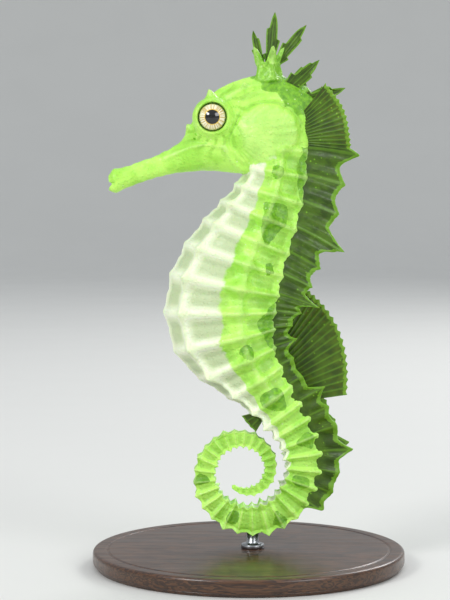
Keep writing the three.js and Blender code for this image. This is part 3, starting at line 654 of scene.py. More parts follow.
def crown_mesh():
    """The bony coronet: a waisted stalk that flares into five blunt points round a hollow."""
    outer, inner, columns = 22, 9, 60

    def place(row, column):
        turn = 2 * math.pi * column / columns
        point = (0.5 + 0.5 * math.cos(5 * turn)) ** 1.5
        rim_height = CROWN_HEIGHT - 0.9 + 3.1 * point
        rim_radius = CROWN_RADIUS * 0.86 + 1.0 * point
        if row <= outer:
            t = row / outer
            rib = 1 + 0.07 * math.cos(5 * turn)
            radius = mix(CROWN_RADIUS * CROWN_WAIST(t) * rib, rim_radius, step(0.55, 1, t) ** 1.5)
            height = rim_height * t
        else:
            t = (row - outer) / inner
            radius = mix(rim_radius - 0.15, 0.0, t**0.8)
            height = mix(rim_height, CROWN_HEIGHT - 1.6, step(0, 1, t) ** 0.7)
        if row == 0:
            radius, height = 0.0, 0.0
        out = CROWN_ACROSS * math.cos(turn) + Vector((0, math.sin(turn), 0))
        place_at = CROWN_FOOT + CROWN_UP * height + out * radius
        place_at += out * noise.noise(place_at * 1.4) * 0.12 * min(radius, 1)
        # the coronet's points get a high value, which paints a highlight on their tips
        return place_at, {"blotch": 0.55, "height": 0.35 + 0.6 * point * (height > 3.5)}

    return rolled(columns, outer + inner, place)


def shoulder_mesh(side):
    """The low fleshy foot of a front fin."""
    bm = bmesh.new()
    layers = {name: bm.verts.layers.float.new(name) for name in TINTS}
    bmesh.ops.create_uvsphere(bm, u_segments=24, v_segments=16, radius=1.0)
    for v in bm.verts:
        v[layers["height"]] = 0.4
    bmesh.ops.scale(bm, vec=(1.5, 1.1, 3.3), verts=bm.verts)
    bmesh.ops.rotate(bm, verts=bm.verts, matrix=Matrix.Rotation(-HEAD_TILT, 3, "Y"))
    bmesh.ops.translate(bm, verts=bm.verts, vec=in_head(38.9, -2.8, -side * 3.2))
    return bm


def nearest_in(points):
    """A search tree of some points."""
    tree = kdtree.KDTree(len(points))
    for i, point in enumerate(points):
        tree.insert(point, i)
    tree.balance()
    return tree


def union(parts):
    """Joins closed meshes into one, with each vertex's tints and each face's part number kept."""
    places, tints, objects = [], [], []
    for i, bm in enumerate(parts):
        layers = [bm.verts.layers.float[name] for name in TINTS]
        places += [v.co.copy() for v in bm.verts]
        tints += [[v[each] for each in layers] for v in bm.verts]
        for face in bm.faces:
            face.material_index = i
        objects.append(made_object(bm, f"part_{i}", [None] * len(parts)))
    whole = objects[0]
    for other in objects[1:]:
        join = whole.modifiers.new("join", "BOOLEAN")
        join.operation = "UNION"
        join.solver = "MANIFOLD"
        join.object = other
    graph = bpy.context.evaluated_depsgraph_get()
    bm = bmesh.new()
    bm.from_mesh(whole.evaluated_get(graph).to_mesh())
    for made in objects:
        mesh = made.data
        bpy.data.objects.remove(made)
        bpy.data.meshes.remove(mesh)
    if not bm.faces:
        raise RuntimeError("the parts of the skin didn't join")
    tree = nearest_in(places)
    layers = [bm.verts.layers.float.get(name) or bm.verts.layers.float.new(name) for name in TINTS]
    for v in bm.verts:
        for each, value in zip(layers, tints[tree.find(v.co)[1]]):
            v[each] = value
    return bm


def soften(bm, verts, turns):
    """Smooths some vertices a number of times."""
    axes = {"use_axis_x": True, "use_axis_y": True, "use_axis_z": True}
    for _ in range(turns):
        bmesh.ops.smooth_vert(bm, verts=verts, factor=0.5, **axes)


SEAM_ROUNDING = ((1.5, 3), (1.0, 5), (0.6, 7))  # how far off a seam, and how many times it is smoothed
SEAM_TINTS = 1.6  # how far off a seam the tints are blended


def heal_seams(bm):
    """Rounds the lines where the parts of the skin met, and leaves one material."""
    bmesh.ops.remove_doubles(bm, verts=bm.verts, dist=0.02)
    bmesh.ops.dissolve_degenerate(bm, edges=bm.edges, dist=0.01)
    seam = [e for e in bm.edges if len({f.material_index for f in e.link_faces}) > 1]
    tree = nearest_in([v.co for e in seam for v in e.verts])
    away = {v: tree.find(v.co)[2] for v in bm.verts}
    for reach, turns in SEAM_ROUNDING:
        soften(bm, [v for v, d in away.items() if d < reach], turns)
    layers = [bm.verts.layers.float[name] for name in TINTS]
    near = {v: [e.other_vert(v) for e in v.link_edges] for v, d in away.items() if d < SEAM_TINTS}
    for _ in range(4):
        means = {}
        for v, others in near.items():
            means[v] = [sum(other[each] for other in others) / len(others) for each in layers]
        for v, values in means.items():
            for each, value in zip(layers, values):
                v[each] = mix(v[each], value, 0.6)
    for face in bm.faces:
        face.material_index = 0
    bmesh.ops.recalc_face_normals(bm, faces=bm.faces)


def off_eye(point):
    """How far a point of the skin lies from the nearer eye's middle line."""
    away = point - MOUTH
    return math.hypot(away.dot(HEAD_AXIS) - EYE["along"], away.dot(HEAD_UP) - EYE["up"])


def refine_lids(bm):
    """Makes the mesh finer round each eye's opening, and lays it on the lid's curve."""
    inner, crest, outer = LID_ZONE

    def lids():
        return [v for v in bm.verts if abs(v.co.y) > TURRET_ROOT + 1 and inner < off_eye(v.co) < outer]

    for _ in range(2):
        known = set(lids())
        edges = [e for e in bm.edges if known.issuperset(e.verts)]
        bmesh.ops.subdivide_edges(bm, edges=edges, cuts=1, use_grid_fill=True)
    verts = lids()
    soften(bm, [v for v in verts if off_eye(v.co) > crest], 4)
    for v in verts:
        r = off_eye(v.co)
        if r < crest:
            v.co.y = math.copysign(LID(r), v.co.y)


# ---- material helpers
def srgb(code):
    """A colour's linear values from its red, green and blue in hexadecimal."""
    parts = [int(code[i:i + 2], 16) / 255 for i in (0, 2, 4)]
    return tuple(c / 12.92 if c <= 0.04045 else ((c + 0.055) / 1.055) ** 2.4 for c in parts)


def node(tree, kind, inputs=None, **settings):
    """A new shader node; an input is a value or another node's socket."""
    made = tree.nodes.new("ShaderNode" + kind)
    for name, value in settings.items():
        setattr(made, name, value)
    for key, value in (inputs or {}).items():
        if isinstance(value, bpy.types.NodeSocket):
            tree.links.new(value, made.inputs[key])
        else:
            made.inputs[key].default_value = value
    return made


def maths(tree, operation, a, b=0.0):
    return node(tree, "Math", {0: a, 1: b}, operation=operation).outputs[0]


def layer(tree, share, below, above):
    """Lays one colour over another by a share."""
    return node(tree, "Mix", {0: share, 6: rgba(below), 7: rgba(above)}, data_type="RGBA").outputs[2]


def rgba(colour):
    return colour if isinstance(colour, bpy.types.NodeSocket) else (*tuple(colour)[:3], 1.0)


def tint(tree, name):
    """The piece's own value of that name at each vertex."""
    return node(tree, "Attribute", attribute_name=name).outputs["Fac"]


def between(tree, value, low, high, start=0.0, end=1.0):
    """Runs smoothly from start to end as a value goes from low to high."""
    inputs = {"Value": value, "From Min": low, "From Max": high, "To Min": start, "To Max": end}
    return node(tree, "MapRange", inputs, interpolation_type="SMOOTHSTEP").outputs[0]


def cloud(tree, at, size, detail=2.0, roughness=0.55):
    """Soft noise whose features are about size millimetres across."""
    inputs = {"Vector": at, "Scale": 1 / (size * MM), "Detail": detail, "Roughness": roughness}
    return node(tree, "TexNoise", inputs).outputs["Fac"]


def cells(tree, at, size, feature="F1", randomness=1.0):
    """The distance from the middles of cells about size millimetres across."""
    inputs = {"Vector": at, "Scale": 1 / (size * MM), "Randomness": randomness}
    return node(tree, "TexVoronoi", inputs, feature=feature).outputs["Distance"]


def bump(tree, height, depth, strength=1.0, under=None):
    """Relief of depth millimetres."""
    inputs = {"Height": height, "Distance": depth * MM, "Strength": strength}
    if under:
        inputs["Normal"] = under
    return node(tree, "Bump", inputs).outputs["Normal"]


def new_material(name, **constants):
    """A material, its tree and its shader, with the shader's constants set."""
    material = bpy.data.materials.new(name)
    material.use_nodes = True
    tree = material.node_tree
    shader = tree.nodes["Principled BSDF"]
    for key, value in constants.items():
        shader.inputs[key.replace("_", " ")].default_value = value
    return material, tree, shader


def connect(tree, shader, **links):
    for key, socket in links.items():
        tree.links.new(socket, shader.inputs[key.replace("_", " ")])


def in_object(tree, scale=(1, 1, 1)):
    """A place on the piece, stretched by a scale."""
    at = node(tree, "TexCoord").outputs["Object"]
    return node(tree, "Mapping", {"Vector": at, "Scale": scale}).outputs["Vector"]


# ---- materials
def skin_material(paint):
    material, tree, shader = new_material(
        "seahorse_skin", Subsurface_Weight=0.08, Subsurface_Scale=0.0006,
        Coat_Weight=0.2, Coat_Roughness=0.24,
    )
    at = in_object(tree)
    height, belly = tint(tree, "height"), tint(tree, "belly")
    mottle, speck = cloud(tree, at, 5.0, 3), cloud(tree, at, 0.9, 2)
    lime = layer(tree, between(tree, mottle, 0.36, 0.62), paint.lime_shade, paint.lime)
    dark = layer(tree, between(tree, speck, 0.3, 0.7), paint.blotch_shade, paint.blotch)
    edge = maths(tree, "ADD", tint(tree, "blotch"), between(tree, speck, 0.25, 0.75, -0.1, 0.1))
    colour = layer(tree, between(tree, edge, 0.38, 0.62), lime, dark)
    # small pale flecks and dark freckles, each thickest where a cloud of its own is
    fleck = between(tree, cells(tree, at, 1.15), 0.16, 0.06)
    fleck = maths(tree, "MULTIPLY", fleck, between(tree, mottle, 0.45, 0.6, 0.0, 0.6))
    colour = layer(tree, fleck, colour, paint.belly)
    freckle = between(tree, cells(tree, at, 0.75), 0.2, 0.08, 0.0, 0.35)
    freckle = maths(tree, "MULTIPLY", freckle, between(tree, cloud(tree, at, 3.1, 2), 0.5, 0.62))
    colour = layer(tree, freckle, colour, paint.blotch_shade)
    line = maths(tree, "MULTIPLY", tint(tree, "line"), between(tree, speck, 0.3, 0.6, 0.25, 0.7))
    colour = layer(tree, line, colour, paint.blotch)
    # the belly, with painted shade in its sunken plates, then a painted highlight on the ridges, painted
    # shade in the creases and dark pore dots over it all
    # painted shade: the belly is darker where the skin sits low between the raised bars
    under = layer(tree, between(tree, height, 0.15, 0.75), paint.belly_painted_shade, paint.belly)
    under = layer(tree, between(tree, speck, 0.62, 0.8, 0.0, 0.35), under, paint.lime_shade)
    pale = maths(tree, "ADD", belly, between(tree, speck, 0.25, 0.75, -0.12, 0.12))
    colour = layer(tree, between(tree, pale, 0.22, 0.78), colour, under)
    # painted highlight: the raised ridges, spines and bars are paler
    colour = layer(tree, between(tree, height, 0.6, 1.0, 0.0, 0.3), colour, paint.crest)
    # painted shade: the deepest creases are darker
    colour = layer(tree, between(tree, height, 0.22, 0.0, 0.0, 0.28), colour, paint.crease)
    # small dark pore dots, in the same painted-shade colour
    pores = cells(tree, at, 0.34)
    colour = layer(tree, between(tree, pores, 0.24, 0.1, 0.0, 0.22), colour, paint.crease)
    # painted shade: the inside of the mouth is near-black
    colour = layer(tree, tint(tree, "inside"), colour, paint.mouth)
    grain = bump(tree, cloud(tree, at, 0.2, 3, 0.65), 0.09, 0.6)
    warts = bump(tree, between(tree, cells(tree, at, 0.75), 0.45, 0.1), 0.1, 0.7, grain)
    plates = bump(tree, cells(tree, at, 0.42, "SMOOTH_F1"), 0.1, 0.7, warts)
    rough = between(tree, speck, 0.3, 0.7, 0.36, 0.52)
    rough = maths(tree, "ADD", rough, between(tree, height, 0.5, 1.0, 0.0, -0.06))
    connect(tree, shader, Base_Color=colour, Roughness=rough, Normal=plates)
    return material


def fin_material(paint):
    material, tree, shader = new_material(
        "seahorse_fin", Subsurface_Weight=0.1, Subsurface_Scale=0.0008, Specular_IOR_Level=0.35,
        Coat_Weight=0.06, Coat_Roughness=0.3,
    )
    at = in_object(tree)
    vein, margin = tint(tree, "vein"), tint(tree, "margin")
    mottle, speck = cloud(tree, at, 2.6, 3), cloud(tree, at, 0.5, 2)
    colour = layer(tree, between(tree, mottle, 0.35, 0.65), paint.olive_shade, paint.olive)
    band = maths(tree, "ADD", margin, between(tree, speck, 0.25, 0.75, -0.12, 0.12))
    colour = layer(tree, between(tree, band, 0.42, 0.58), colour, paint.olive_edge)
    colour = layer(tree, between(tree, vein, 0.35, 1.0, 0.0, 0.5), colour, paint.olive_edge)
    colour = layer(tree, between(tree, margin, 0.9, 1.0, 0.0, 0.4), colour, paint.blotch)
    dots = cells(tree, at, 1.1, randomness=0.9)
    spot = between(tree, dots, 0.2, 0.1)
    spot = maths(tree, "MULTIPLY", spot, between(tree, mottle, 0.5, 0.58, 0.0, 0.6))
    colour = layer(tree, spot, colour, paint.blotch)
    grain = bump(tree, cloud(tree, at, 0.18, 3, 0.6), 0.04, 0.4)
    folds = bump(tree, maths(tree, "ADD", vein, maths(tree, "MULTIPLY", speck, 0.4)), 0.07, 0.5, grain)
    rough = between(tree, speck, 0.3, 0.7, 0.38, 0.56)
    connect(tree, shader, Base_Color=colour, Roughness=rough, Normal=folds)
    return material


# Where each ring of an eye's colours ends, soft from the one distance to the other.
IRIS_EDGE = (2.36, 2.6)
PUPIL_RIM = (1.62, 1.5)
PUPIL = (1.42, 1.36)


def eye_material(name, middle, paint):
    """Rings round the eye's middle: a round pupil, a gold rim, a pale rayed iris and its dark edge."""
    material, tree, shader = new_material(
        name, Roughness=0.16, Coat_Weight=1.0, Coat_Roughness=0.02, IOR=1.4,
    )
    at = node(tree, "TexCoord").outputs["Object"]
    moved = node(tree, "VectorMath", {0: at, 1: middle}, operation="SUBTRACT").outputs[0]
    flat = node(tree, "VectorMath", {0: moved, 1: (1, 0, 1)}, operation="MULTIPLY").outputs[0]
    length = node(tree, "VectorMath", {0: flat}, operation="LENGTH").outputs["Value"]
    radius = maths(tree, "DIVIDE", length, MM)
    way = node(tree, "VectorMath", {0: flat}, operation="NORMALIZE").outputs[0]
    rays = node(tree, "TexNoise", {"Vector": way, "Scale": 9.0, "Detail": 3.0}).outputs["Fac"]
    fine = cloud(tree, at, 0.22, 2)
    iris = layer(tree, between(tree, rays, 0.38, 0.6), paint.iris_shade, paint.iris)
    iris = layer(tree, between(tree, fine, 0.5, 0.75, 0.0, 0.45), iris, paint.iris_shade)
    wavy = maths(tree, "ADD", radius, between(tree, rays, 0.3, 0.7, -0.08, 0.08))
    colour = layer(tree, between(tree, wavy, *IRIS_EDGE), iris, paint.olive_shade)
    colour = layer(tree, between(tree, wavy, *PUPIL_RIM), colour, paint.iris_rim)
    colour = layer(tree, between(tree, radius, *PUPIL), colour, paint.pupil)
    connect(tree, shader, Base_Color=colour)
    return material


def walnut_material(paint):
    material, tree, shader = new_material("walnut", Coat_Weight=0.35, Coat_Roughness=0.18)
    at = in_object(tree, scale=(1.0, 7.0, 12.0))
    waver = cloud(tree, at, 26.0, 4, 0.6)
    bands = maths(tree, "FRACT", maths(tree, "MULTIPLY", waver, 9.0))
    colour = layer(tree, between(tree, bands, 0.1, 0.9), paint.walnut, paint.walnut_shade)
    pores = cloud(tree, in_object(tree, scale=(1.0, 22.0, 22.0)), 9.0, 2)
    colour = layer(tree, between(tree, pores, 0.56, 0.68, 0.0, 0.7), colour, paint.walnut_shade)
    rough = between(tree, waver, 0.3, 0.7, 0.34, 0.46)
    connect(tree, shader, Base_Color=colour, Roughness=rough, Normal=bump(tree, pores, 0.05, 0.35))
    return material


def steel_material(paint):
    material, tree, shader = new_material("brushed_steel", Metallic=1.0)
    lines = cloud(tree, in_object(tree, scale=(1.0, 1.0, 30.0)), 2.0, 3)
    colour = layer(tree, between(tree, lines, 0.3, 0.7), paint.steel_shade, paint.steel)
    rough = between(tree, lines, 0.3, 0.7, 0.24, 0.4)
    connect(tree, shader, Base_Color=colour, Roughness=rough, Normal=bump(tree, lines, 0.02, 0.4))
    return material


def floor_material(paint):
    material, tree, shader = new_material("studio_floor")
    patch = cloud(tree, in_object(tree), 60.0, 2)
    colour = layer(tree, between(tree, patch, 0.3, 0.7), paint.floor, [c * 0.985 for c in paint.floor])
    connect(tree, shader, Base_Color=colour, Roughness=between(tree, patch, 0.3, 0.7, 0.6, 0.7))
    return material


# ---- thin plates: the mane, fronds and fins
PLATE_TINTS = ("vein", "margin")


def plate(columns, rows, place):
    """A closed thin plate. place(u, v, face) gives a vertex and its tints; face is 1 or -1."""
    bm, _ = sheet(columns, rows, PLATE_TINTS)
    wall = 0.2  # parts the two faces until each vertex is placed
    bmesh.ops.solidify(bm, geom=bm.verts[:] + bm.edges[:] + bm.faces[:], thickness=wall)
    layers = {name: bm.verts.layers.float[name] for name in PLATE_TINTS}
    for v in bm.verts:
        face = 1 if abs(v.co.z) < wall / 2 else -1
        v.co, tints = place(v.co.x + 0.5, v.co.y + 0.5, face)
        for name, value in tints.items():
            v[layers[name]] = value
    bmesh.ops.remove_doubles(bm, verts=bm.verts, dist=1e-4)
    bmesh.ops.recalc_face_normals(bm, faces=bm.faces)
    return bm


def gather(parts):
    """Several bmeshes in one."""
    whole = bmesh.new()
    for name in PLATE_TINTS:
        whole.verts.layers.float.new(name)
    mesh = bpy.data.meshes.new("gathered")
    for bm in parts:
        bm.to_mesh(mesh)
        bm.free()
        whole.from_mesh(mesh)
    bpy.data.meshes.remove(mesh)
    return whole


FROND_HEIGHT = smoothly([
    (NECK_START, 11.4), (15, 12.1), (28, 10.8), (40, 8.6), (50, 5.2), (60, 4.8), (68, 7.2),
    (77, 6), (86, 2.4),
])
FROND_SPLAY = math.radians(16)  # how far a frond leans off the middle
SHORT_FROND = 0.68  # a short frond's height over a tall one's
FULL_FROND = 10.5  # the height whose curl and sweep are full
FROND_THICKNESS = 0.62  # at the root
ROOT_DEPTH = 0.9
TIP_PHASE = 0.46  # where in its ring a frond's tip stands
MANE_FADE = 2.2  # the length over which the mane runs out
MANE_COLUMNS = 18  # in each ring


def mane_margin(s, web_share):
    """The mane's height at a distance, and how far into its frond that is, from -1 to 1."""
    ring = next(i for i in range(RING_COUNT) if EDGES[i + 1] > s)
    start, end = EDGES[ring], EDGES[ring + 1]
    phase = (s - start) / (end - start)
    tip = FROND_HEIGHT(at_ring(ring, 0.5)) * (1 if is_long(ring) else SHORT_FROND)
    web = FROND_HEIGHT(start if phase < TIP_PHASE else end) * web_share
    into = (phase - TIP_PHASE) / (TIP_PHASE if phase < TIP_PHASE else 1 - TIP_PHASE)
    fade = step(LAST_FROND, LAST_FROND - MANE_FADE, s)
    return (web + (tip - web) * (1 - abs(into)) ** TAPER) * fade, into


def mane_strip(side, sizes):
    """One side's row of skin fronds on the upper ridge, joined by low webs."""
    start, end = EDGES[0] + 0.15, LAST_FROND - 0.15
    columns = LAST_FROND_RING * MANE_COLUMNS
    marks = [at_ring(i // MANE_COLUMNS, i % MANE_COLUMNS / MANE_COLUMNS) for i in range(columns)]
    marks.append(end)

    def place(u, v, face):
        s = min(max(marks[round(u * columns)], start), end)
        row = body_row(s)
        margin, into = mane_margin(s, sizes.web_share)
        margin *= 1 + 0.05 * noise.noise(Vector((s * 1.7, side * 3.0, 0)))
        height = mix(-ROOT_DEPTH, margin, v)
        share = max(height, 0) / FULL_FROND
        splay = FROND_SPLAY * (1 + 0.5 * share)
        sideways = Vector((0, -side, 0))
        outward = row["back"] * math.cos(splay) + sideways * math.sin(splay)
        flat = row["back"] * -math.sin(splay) + sideways * math.cos(splay)
        curl = 0.55 * share * math.sin(s * 0.83 + side)
        curl += 0.16 * math.sin(s * 3.1 + 2 * side) * min(1, height / 2)
        sweep = row["along"] * (1.1 * share**1.5)
        lean = 1 - 0.45 * v
        rib = max(
            bell(into, 0.16),
            0.7 * bell(abs(into) - 0.34 * (0.5 + v), 0.05),
            0.6 * bell(abs(into) - 0.62 * (0.6 + 0.6 * v), 0.04),
        )
        half = 0.5 * (sizes.frond_thickness / MM) * (0.42 + 0.38 * lean + 0.28 * rib * (1 - v))
        point = body_point(row, row["upper"] if side > 0 else 360 - row["upper"])
        point += outward * height + sweep + flat * (curl * (height > 0) + face * half)
        return point, {"vein": rib, "margin": 1 - min(1, (margin - height) / 1.7)}

    return plate(columns, 14, place)


def frond(root, tall, wide, height, width, foot, curl, seed):
    """A single pointed frond with a ragged edge and three ribs that run to its tip."""
    normal = wide.cross(tall)

    def place(u, t, face):
        half_width = width * (foot * (1 - t) ** 2 + 0.95 * t * (1 - t)) + 0.02
        across = (u - 0.5) * 2
        tooth = (t * 2.1 + 0.29 * seed + (0.4 if across > 0 else 0)) % 1.0
        half_width *= 1 + 0.5 * (tooth**2 - 0.4) * step(0, 0.15, t) * step(1, 0.8, t)
        rib = max(bell(across, 0.13), 0.7 * bell(abs(across) - 0.5, 0.12) * step(0.95, 0.6, t))
        edge = half_width * (1 - abs(across))
        half = 0.5 * FROND_THICKNESS * (0.45 + 0.35 * (1 - t) + 0.2 * rib)
        wave = 0.22 * math.sin(5 * t + seed + 1.3 * across)
        bend = curl * t * t + wave * t + 0.25 * across * across * t
        point = root + tall * (height * t) + wide * (across * half_width) + normal * (bend + face * half)
        return point, {"vein": rib, "margin": 1 - min(1, min(edge, height * (1 - t)) / 0.55)}

    return plate(16, 40, place)


CROWN_FRONDS = (
    # how far back from the middle, the lean back in degrees, the height, the width and the curl
    (-1.5, -12, 7.0, 3.2, 0.5),
    (0.4, 8, 10.5, 4.4, -0.6),
    (2.2, 40, 9.6, 4.2, 0.7),
)
NAPE_FRONDS = (
    # along, up and out in the head, then the lean back in degrees, the height and the width
    (40.0, 6.2, 1.3, 66, 8.4, 4.0),
    (42.2, 2.4, 1.5, 90, 8.6, 3.8),
)


def crown_fronds():
    """The fronds that stand in the coronet."""
    crown = CROWN_FOOT + CROWN_UP * (CROWN_HEIGHT - 0.5)
    for i, (offset, lean, height, width, curl) in enumerate(CROWN_FRONDS):
        turn = Quaternion((0, 1, 0), math.radians(lean))
        tall, wide = turn @ CROWN_UP, turn @ CROWN_ACROSS
        root = crown + CROWN_ACROSS * offset - tall
        yield frond(root, tall, wide, height, width, 0.16, curl, i * 1.9)


def nape_fronds():
    """The pairs of fronds behind the coronet."""
    for i, (along, up, out, lean, height, width) in enumerate(NAPE_FRONDS):
        for side in (1, -1):
            turn = Quaternion((0, 1, 0), math.radians(lean))
            tall, wide = turn @ HEAD_UP, turn @ HEAD_AXIS
            splay = Quaternion(wide, side * FROND_SPLAY)
            tall = splay @ tall
            root = in_head(along, up, -side * out) - tall * ROOT_DEPTH
            yield frond(root, tall, wide, height, width, 0.42, -side * 0.8, i + side)


RAY_COLUMNS = 6  # from one fin ray to the next
RAY_DEPTH = 0.6  # how deep a fin ray is rooted


def fan(ray_count, rows, ray, ray_size=0.46, web_size=0.2, wave=0.35):
    """A fin of rays and thin webs. ray(t) gives a ray's root, direction, flat and length."""

    def place(u, v, face):
        root, direction, flat, length = ray(u)
        near = abs(((u * (ray_count - 1)) + 0.5) % 1.0 - 0.5) * 2
        on_ray = bell(near, 0.42)
        reach = length * (1 - 0.035 * (1 - bell(near, 0.5)) * step(0.55, 1, v))
        height = mix(-RAY_DEPTH, reach, v)
        half = 0.5 * mix(web_size, ray_size, on_ray) * (1 - 0.45 * v)
        ripple = wave * math.sin(u * 9.5 + 0.6) * v * v + 0.05 * math.sin(v * 26) * on_ray * v
        point = root + direction * height + flat * (ripple + face * half)
        return point, {"vein": on_ray, "margin": 1 - min(1, (reach - height) / min(1.5, 0.2 * length))}

    return plate((ray_count - 1) * RAY_COLUMNS, rows, place)


Y_AXIS = Vector((0, 1, 0))
DORSAL_SPAN = (51.5, 65.5)  # where on the body the fin of the back stands
ANAL_SPAN = (61.6, 63.6)


def turned(vector, degrees):
    return Quaternion(Y_AXIS, math.radians(degrees)) @ vector


def dorsal_ray(t):
    row = body_row(mix(*DORSAL_SPAN, t))
    middle = line_at(sum(DORSAL_SPAN) / 2)[2]
    length = 14 * (1 - 0.3 * t**2) * (0.86 + 0.14 * math.sin(math.pi * t))
    return body_point(row, 0, 0.1), turned(middle, -mix(30, -26, t)), Y_AXIS, length


def pectoral_ray(side):
    def ray(t):
        root = in_head(39.2 - 0.6 * math.sin(math.pi * t), -2.8 + 5.4 * (0.5 - t), -side * 3.4)
        outward = Vector((0, -side, 0))
        lean = math.radians(28)
        axis = HEAD_AXIS * math.cos(lean) + outward * math.sin(lean)
        flat = HEAD_AXIS * -math.sin(lean) + outward * math.cos(lean)
        turn = math.radians(mix(30, -24, t))
        direction = axis * math.cos(turn) + HEAD_UP * math.sin(turn)
        return root, direction, flat, 10.5 * (0.88 + 0.12 * math.sin(math.pi * t))

    return ray


def anal_ray(t):
    row = body_row(mix(*ANAL_SPAN, t))
    middle = line_at(sum(ANAL_SPAN) / 2)[2]
    return body_point(row, 180, -0.8), turned(-middle, mix(22, -22, t)), Y_AXIS, 3.0


# ---- eyes and stand
EYE_FLATNESS = 0.9  # the eyeball's front, and its hidden back, over a true ball's
EYE_BACK = 0.6


def eye_mesh(side):
    """An eyeball with its pole outwards and a low clear bulge over the pupil."""
    bm = bmesh.new()
    bmesh.ops.create_uvsphere(bm, u_segments=64, v_segments=40, radius=EYE["radius"])
    for v in bm.verts:
        r = math.hypot(v.co.x, v.co.y)
        if v.co.z > 0:
            v.co.z = v.co.z * EYE_FLATNESS + 0.2 * step(1.9, 0.3, r)
        else:
            v.co.z *= EYE_BACK
    bmesh.ops.rotate(bm, verts=bm.verts, matrix=Matrix.Rotation(side * math.pi / 2, 3, "X"))
    bmesh.ops.translate(bm, verts=bm.verts, vec=in_head(EYE["along"], EYE["up"], -side * EYE["out"]))
    bmesh.ops.recalc_face_normals(bm, faces=bm.faces)
    return bm


def turned_piece(outline, sides, middle=(0, 0)):
    """A closed round piece spun from an outline of radius and height."""
    bm = bmesh.new()
    verts = [bm.verts.new((r, 0, z)) for r, z in outline]
    edges = [bm.edges.new(pair) for pair in zip(verts, verts[1:])]
    bmesh.ops.spin(
        bm, geom=verts + edges, cent=(0, 0, 0), axis=(0, 0, 1), dvec=(0, 0, 0),
        angle=2 * math.pi, steps=sides, use_merge=True,
    )
    bmesh.ops.remove_doubles(bm, verts=bm.verts, dist=1e-4)
    bmesh.ops.recalc_face_normals(bm, faces=bm.faces)
    bmesh.ops.translate(bm, verts=bm.verts, vec=(*middle, 0))
    return bm


def rounded(outline, rounding):
    """The outline with its corners rounded: each has a radius, a height and a share of the rounding."""
    arc = 5
    points = []
    for i, (r, z, soft) in enumerate(outline):
        here = Vector((r, z))
        if not soft:
            points.append(tuple(here))
            continue
        before = (Vector(outline[i - 1][:2]) - here).normalized() * soft * rounding
        after = (Vector(outline[i + 1][:2]) - here).normalized() * soft * rounding
        for k in range(arc + 1):
            t = k / arc
            points.append(tuple(here + before * (1 - t) ** 2 + after * t**2))
    return points


def box_mm(name):
    """A node's lowest and highest corners in millimetres."""
    low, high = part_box(name)
    return low / MM, high / MM


# ---- what a user can change
def colour(name, description, code):
    return bpy.props.FloatVectorProperty(
        name=name, description=description, subtype="COLOR", size=3, min=0.0, max=1.0,
        default=srgb(code),
    )


def size_in_mm(name, description, millimetres):
    return bpy.props.FloatProperty(
        name=name, description=description, unit="LENGTH", subtype="DISTANCE", min=0.0, precision=5,
        default=millimetres * MM,
    )


class SeahorseColours(bpy.types.PropertyGroup):
    lime: colour("Lime", "Skin of the head, back and sides", "C2FB68")
    lime_shade: colour("Lime shade", "Darker clouds in the skin", "A3E548")
    blotch: colour("Blotch", "Darker patches of the back", "86C628")
    blotch_shade: colour("Blotch shade", "Darker clouds in the patches", "64A21C")
    belly: colour("Belly", "Plates of the underside", "F1F9DC")
    # painted shade for the belly's sunken plates between the bars
    belly_painted_shade: colour("Belly shade", "Painted shade in the belly's sunken plates", "DAE6BC")
    # painted highlight on the raised ridges, spines and bars
    crest: colour("Crest", "Painted highlight on ridges, spines and bars of the rings", "DDFBA0")
    # painted shade for the creases and the pore dots
    crease: colour("Crease", "Painted shade in the creases between the rings", "5E8F24")
    olive: colour("Olive", "Mane, fronds and fins", "48680C")
    olive_shade: colour("Olive shade", "Darker clouds in the fins", "304A08")
    olive_edge: colour("Olive edge", "Lighter band along a fin's edge", "6A9A20")
    # painted shade for the mouth's opening
    mouth: colour("Mouth", "Inside of the mouth, painted dark as shade", "2A1C16")
    iris: colour("Iris", "Pale iris", "FAF4D6")
    iris_shade: colour("Iris rays", "Darker rays of the iris", "C9B26A")
    iris_rim: colour("Pupil rim", "Gold ring round the pupil", "E8C24A")
    pupil: colour("Pupil", "Pupil", "050505")
    walnut: colour("Walnut", "Stand base", "5A3A22")
    walnut_shade: colour("Walnut grain", "Grain of the stand base", "2E1A0E")
    steel: colour("Steel", "Stand rod", "C2C5C8")
    steel_shade: colour("Steel shade", "Brushing of the stand rod", "8F9397")
    floor: colour("Floor", "Studio floor", "D9D9D5")


class SeahorseSizes(bpy.types.PropertyGroup):
    ring_relief: size_in_mm("Ring relief", "How far bars and ridges stand off the plates", 1.0)
    spine_height: size_in_mm("Spine height", "Height of an ordinary back spine", 1.0)
    frond_thickness: size_in_mm(
        "Mane thickness", "Thickness of the mane's fronds at the root", FROND_THICKNESS,
    )
    web_share: bpy.props.FloatProperty(
        name="Web share", description="A web's height over a tall frond's", subtype="FACTOR",
        min=0.1, max=0.9, default=0.56,
    )
    collar_radius: size_in_mm("Collar radius", "Collar at the foot of the rod", 2.3)
    base_edge: size_in_mm("Base edge", "Rounding of the stand base's edges", 0.8)


class SeahorseStage(bpy.types.PropertyGroup):
    elevation: bpy.props.FloatProperty(
        name="Elevation", description="Camera height above level", subtype="ANGLE", unit="ROTATION",
        default=math.radians(4),
    )
    lens: bpy.props.FloatProperty(
        name="Lens", description="Focal length in millimetres", unit="CAMERA", default=120.0,
    )
    across: size_in_mm("View height", "Height of the picture at the animal", 118.6)
    aim_x: bpy.props.FloatProperty(
        name="Aim across", description="Middle of the picture along X", unit="LENGTH", precision=5,
        default=-4.7 * MM,
    )
    aim_z: size_in_mm("Aim height", "Middle of the picture above the floor", 53.0)


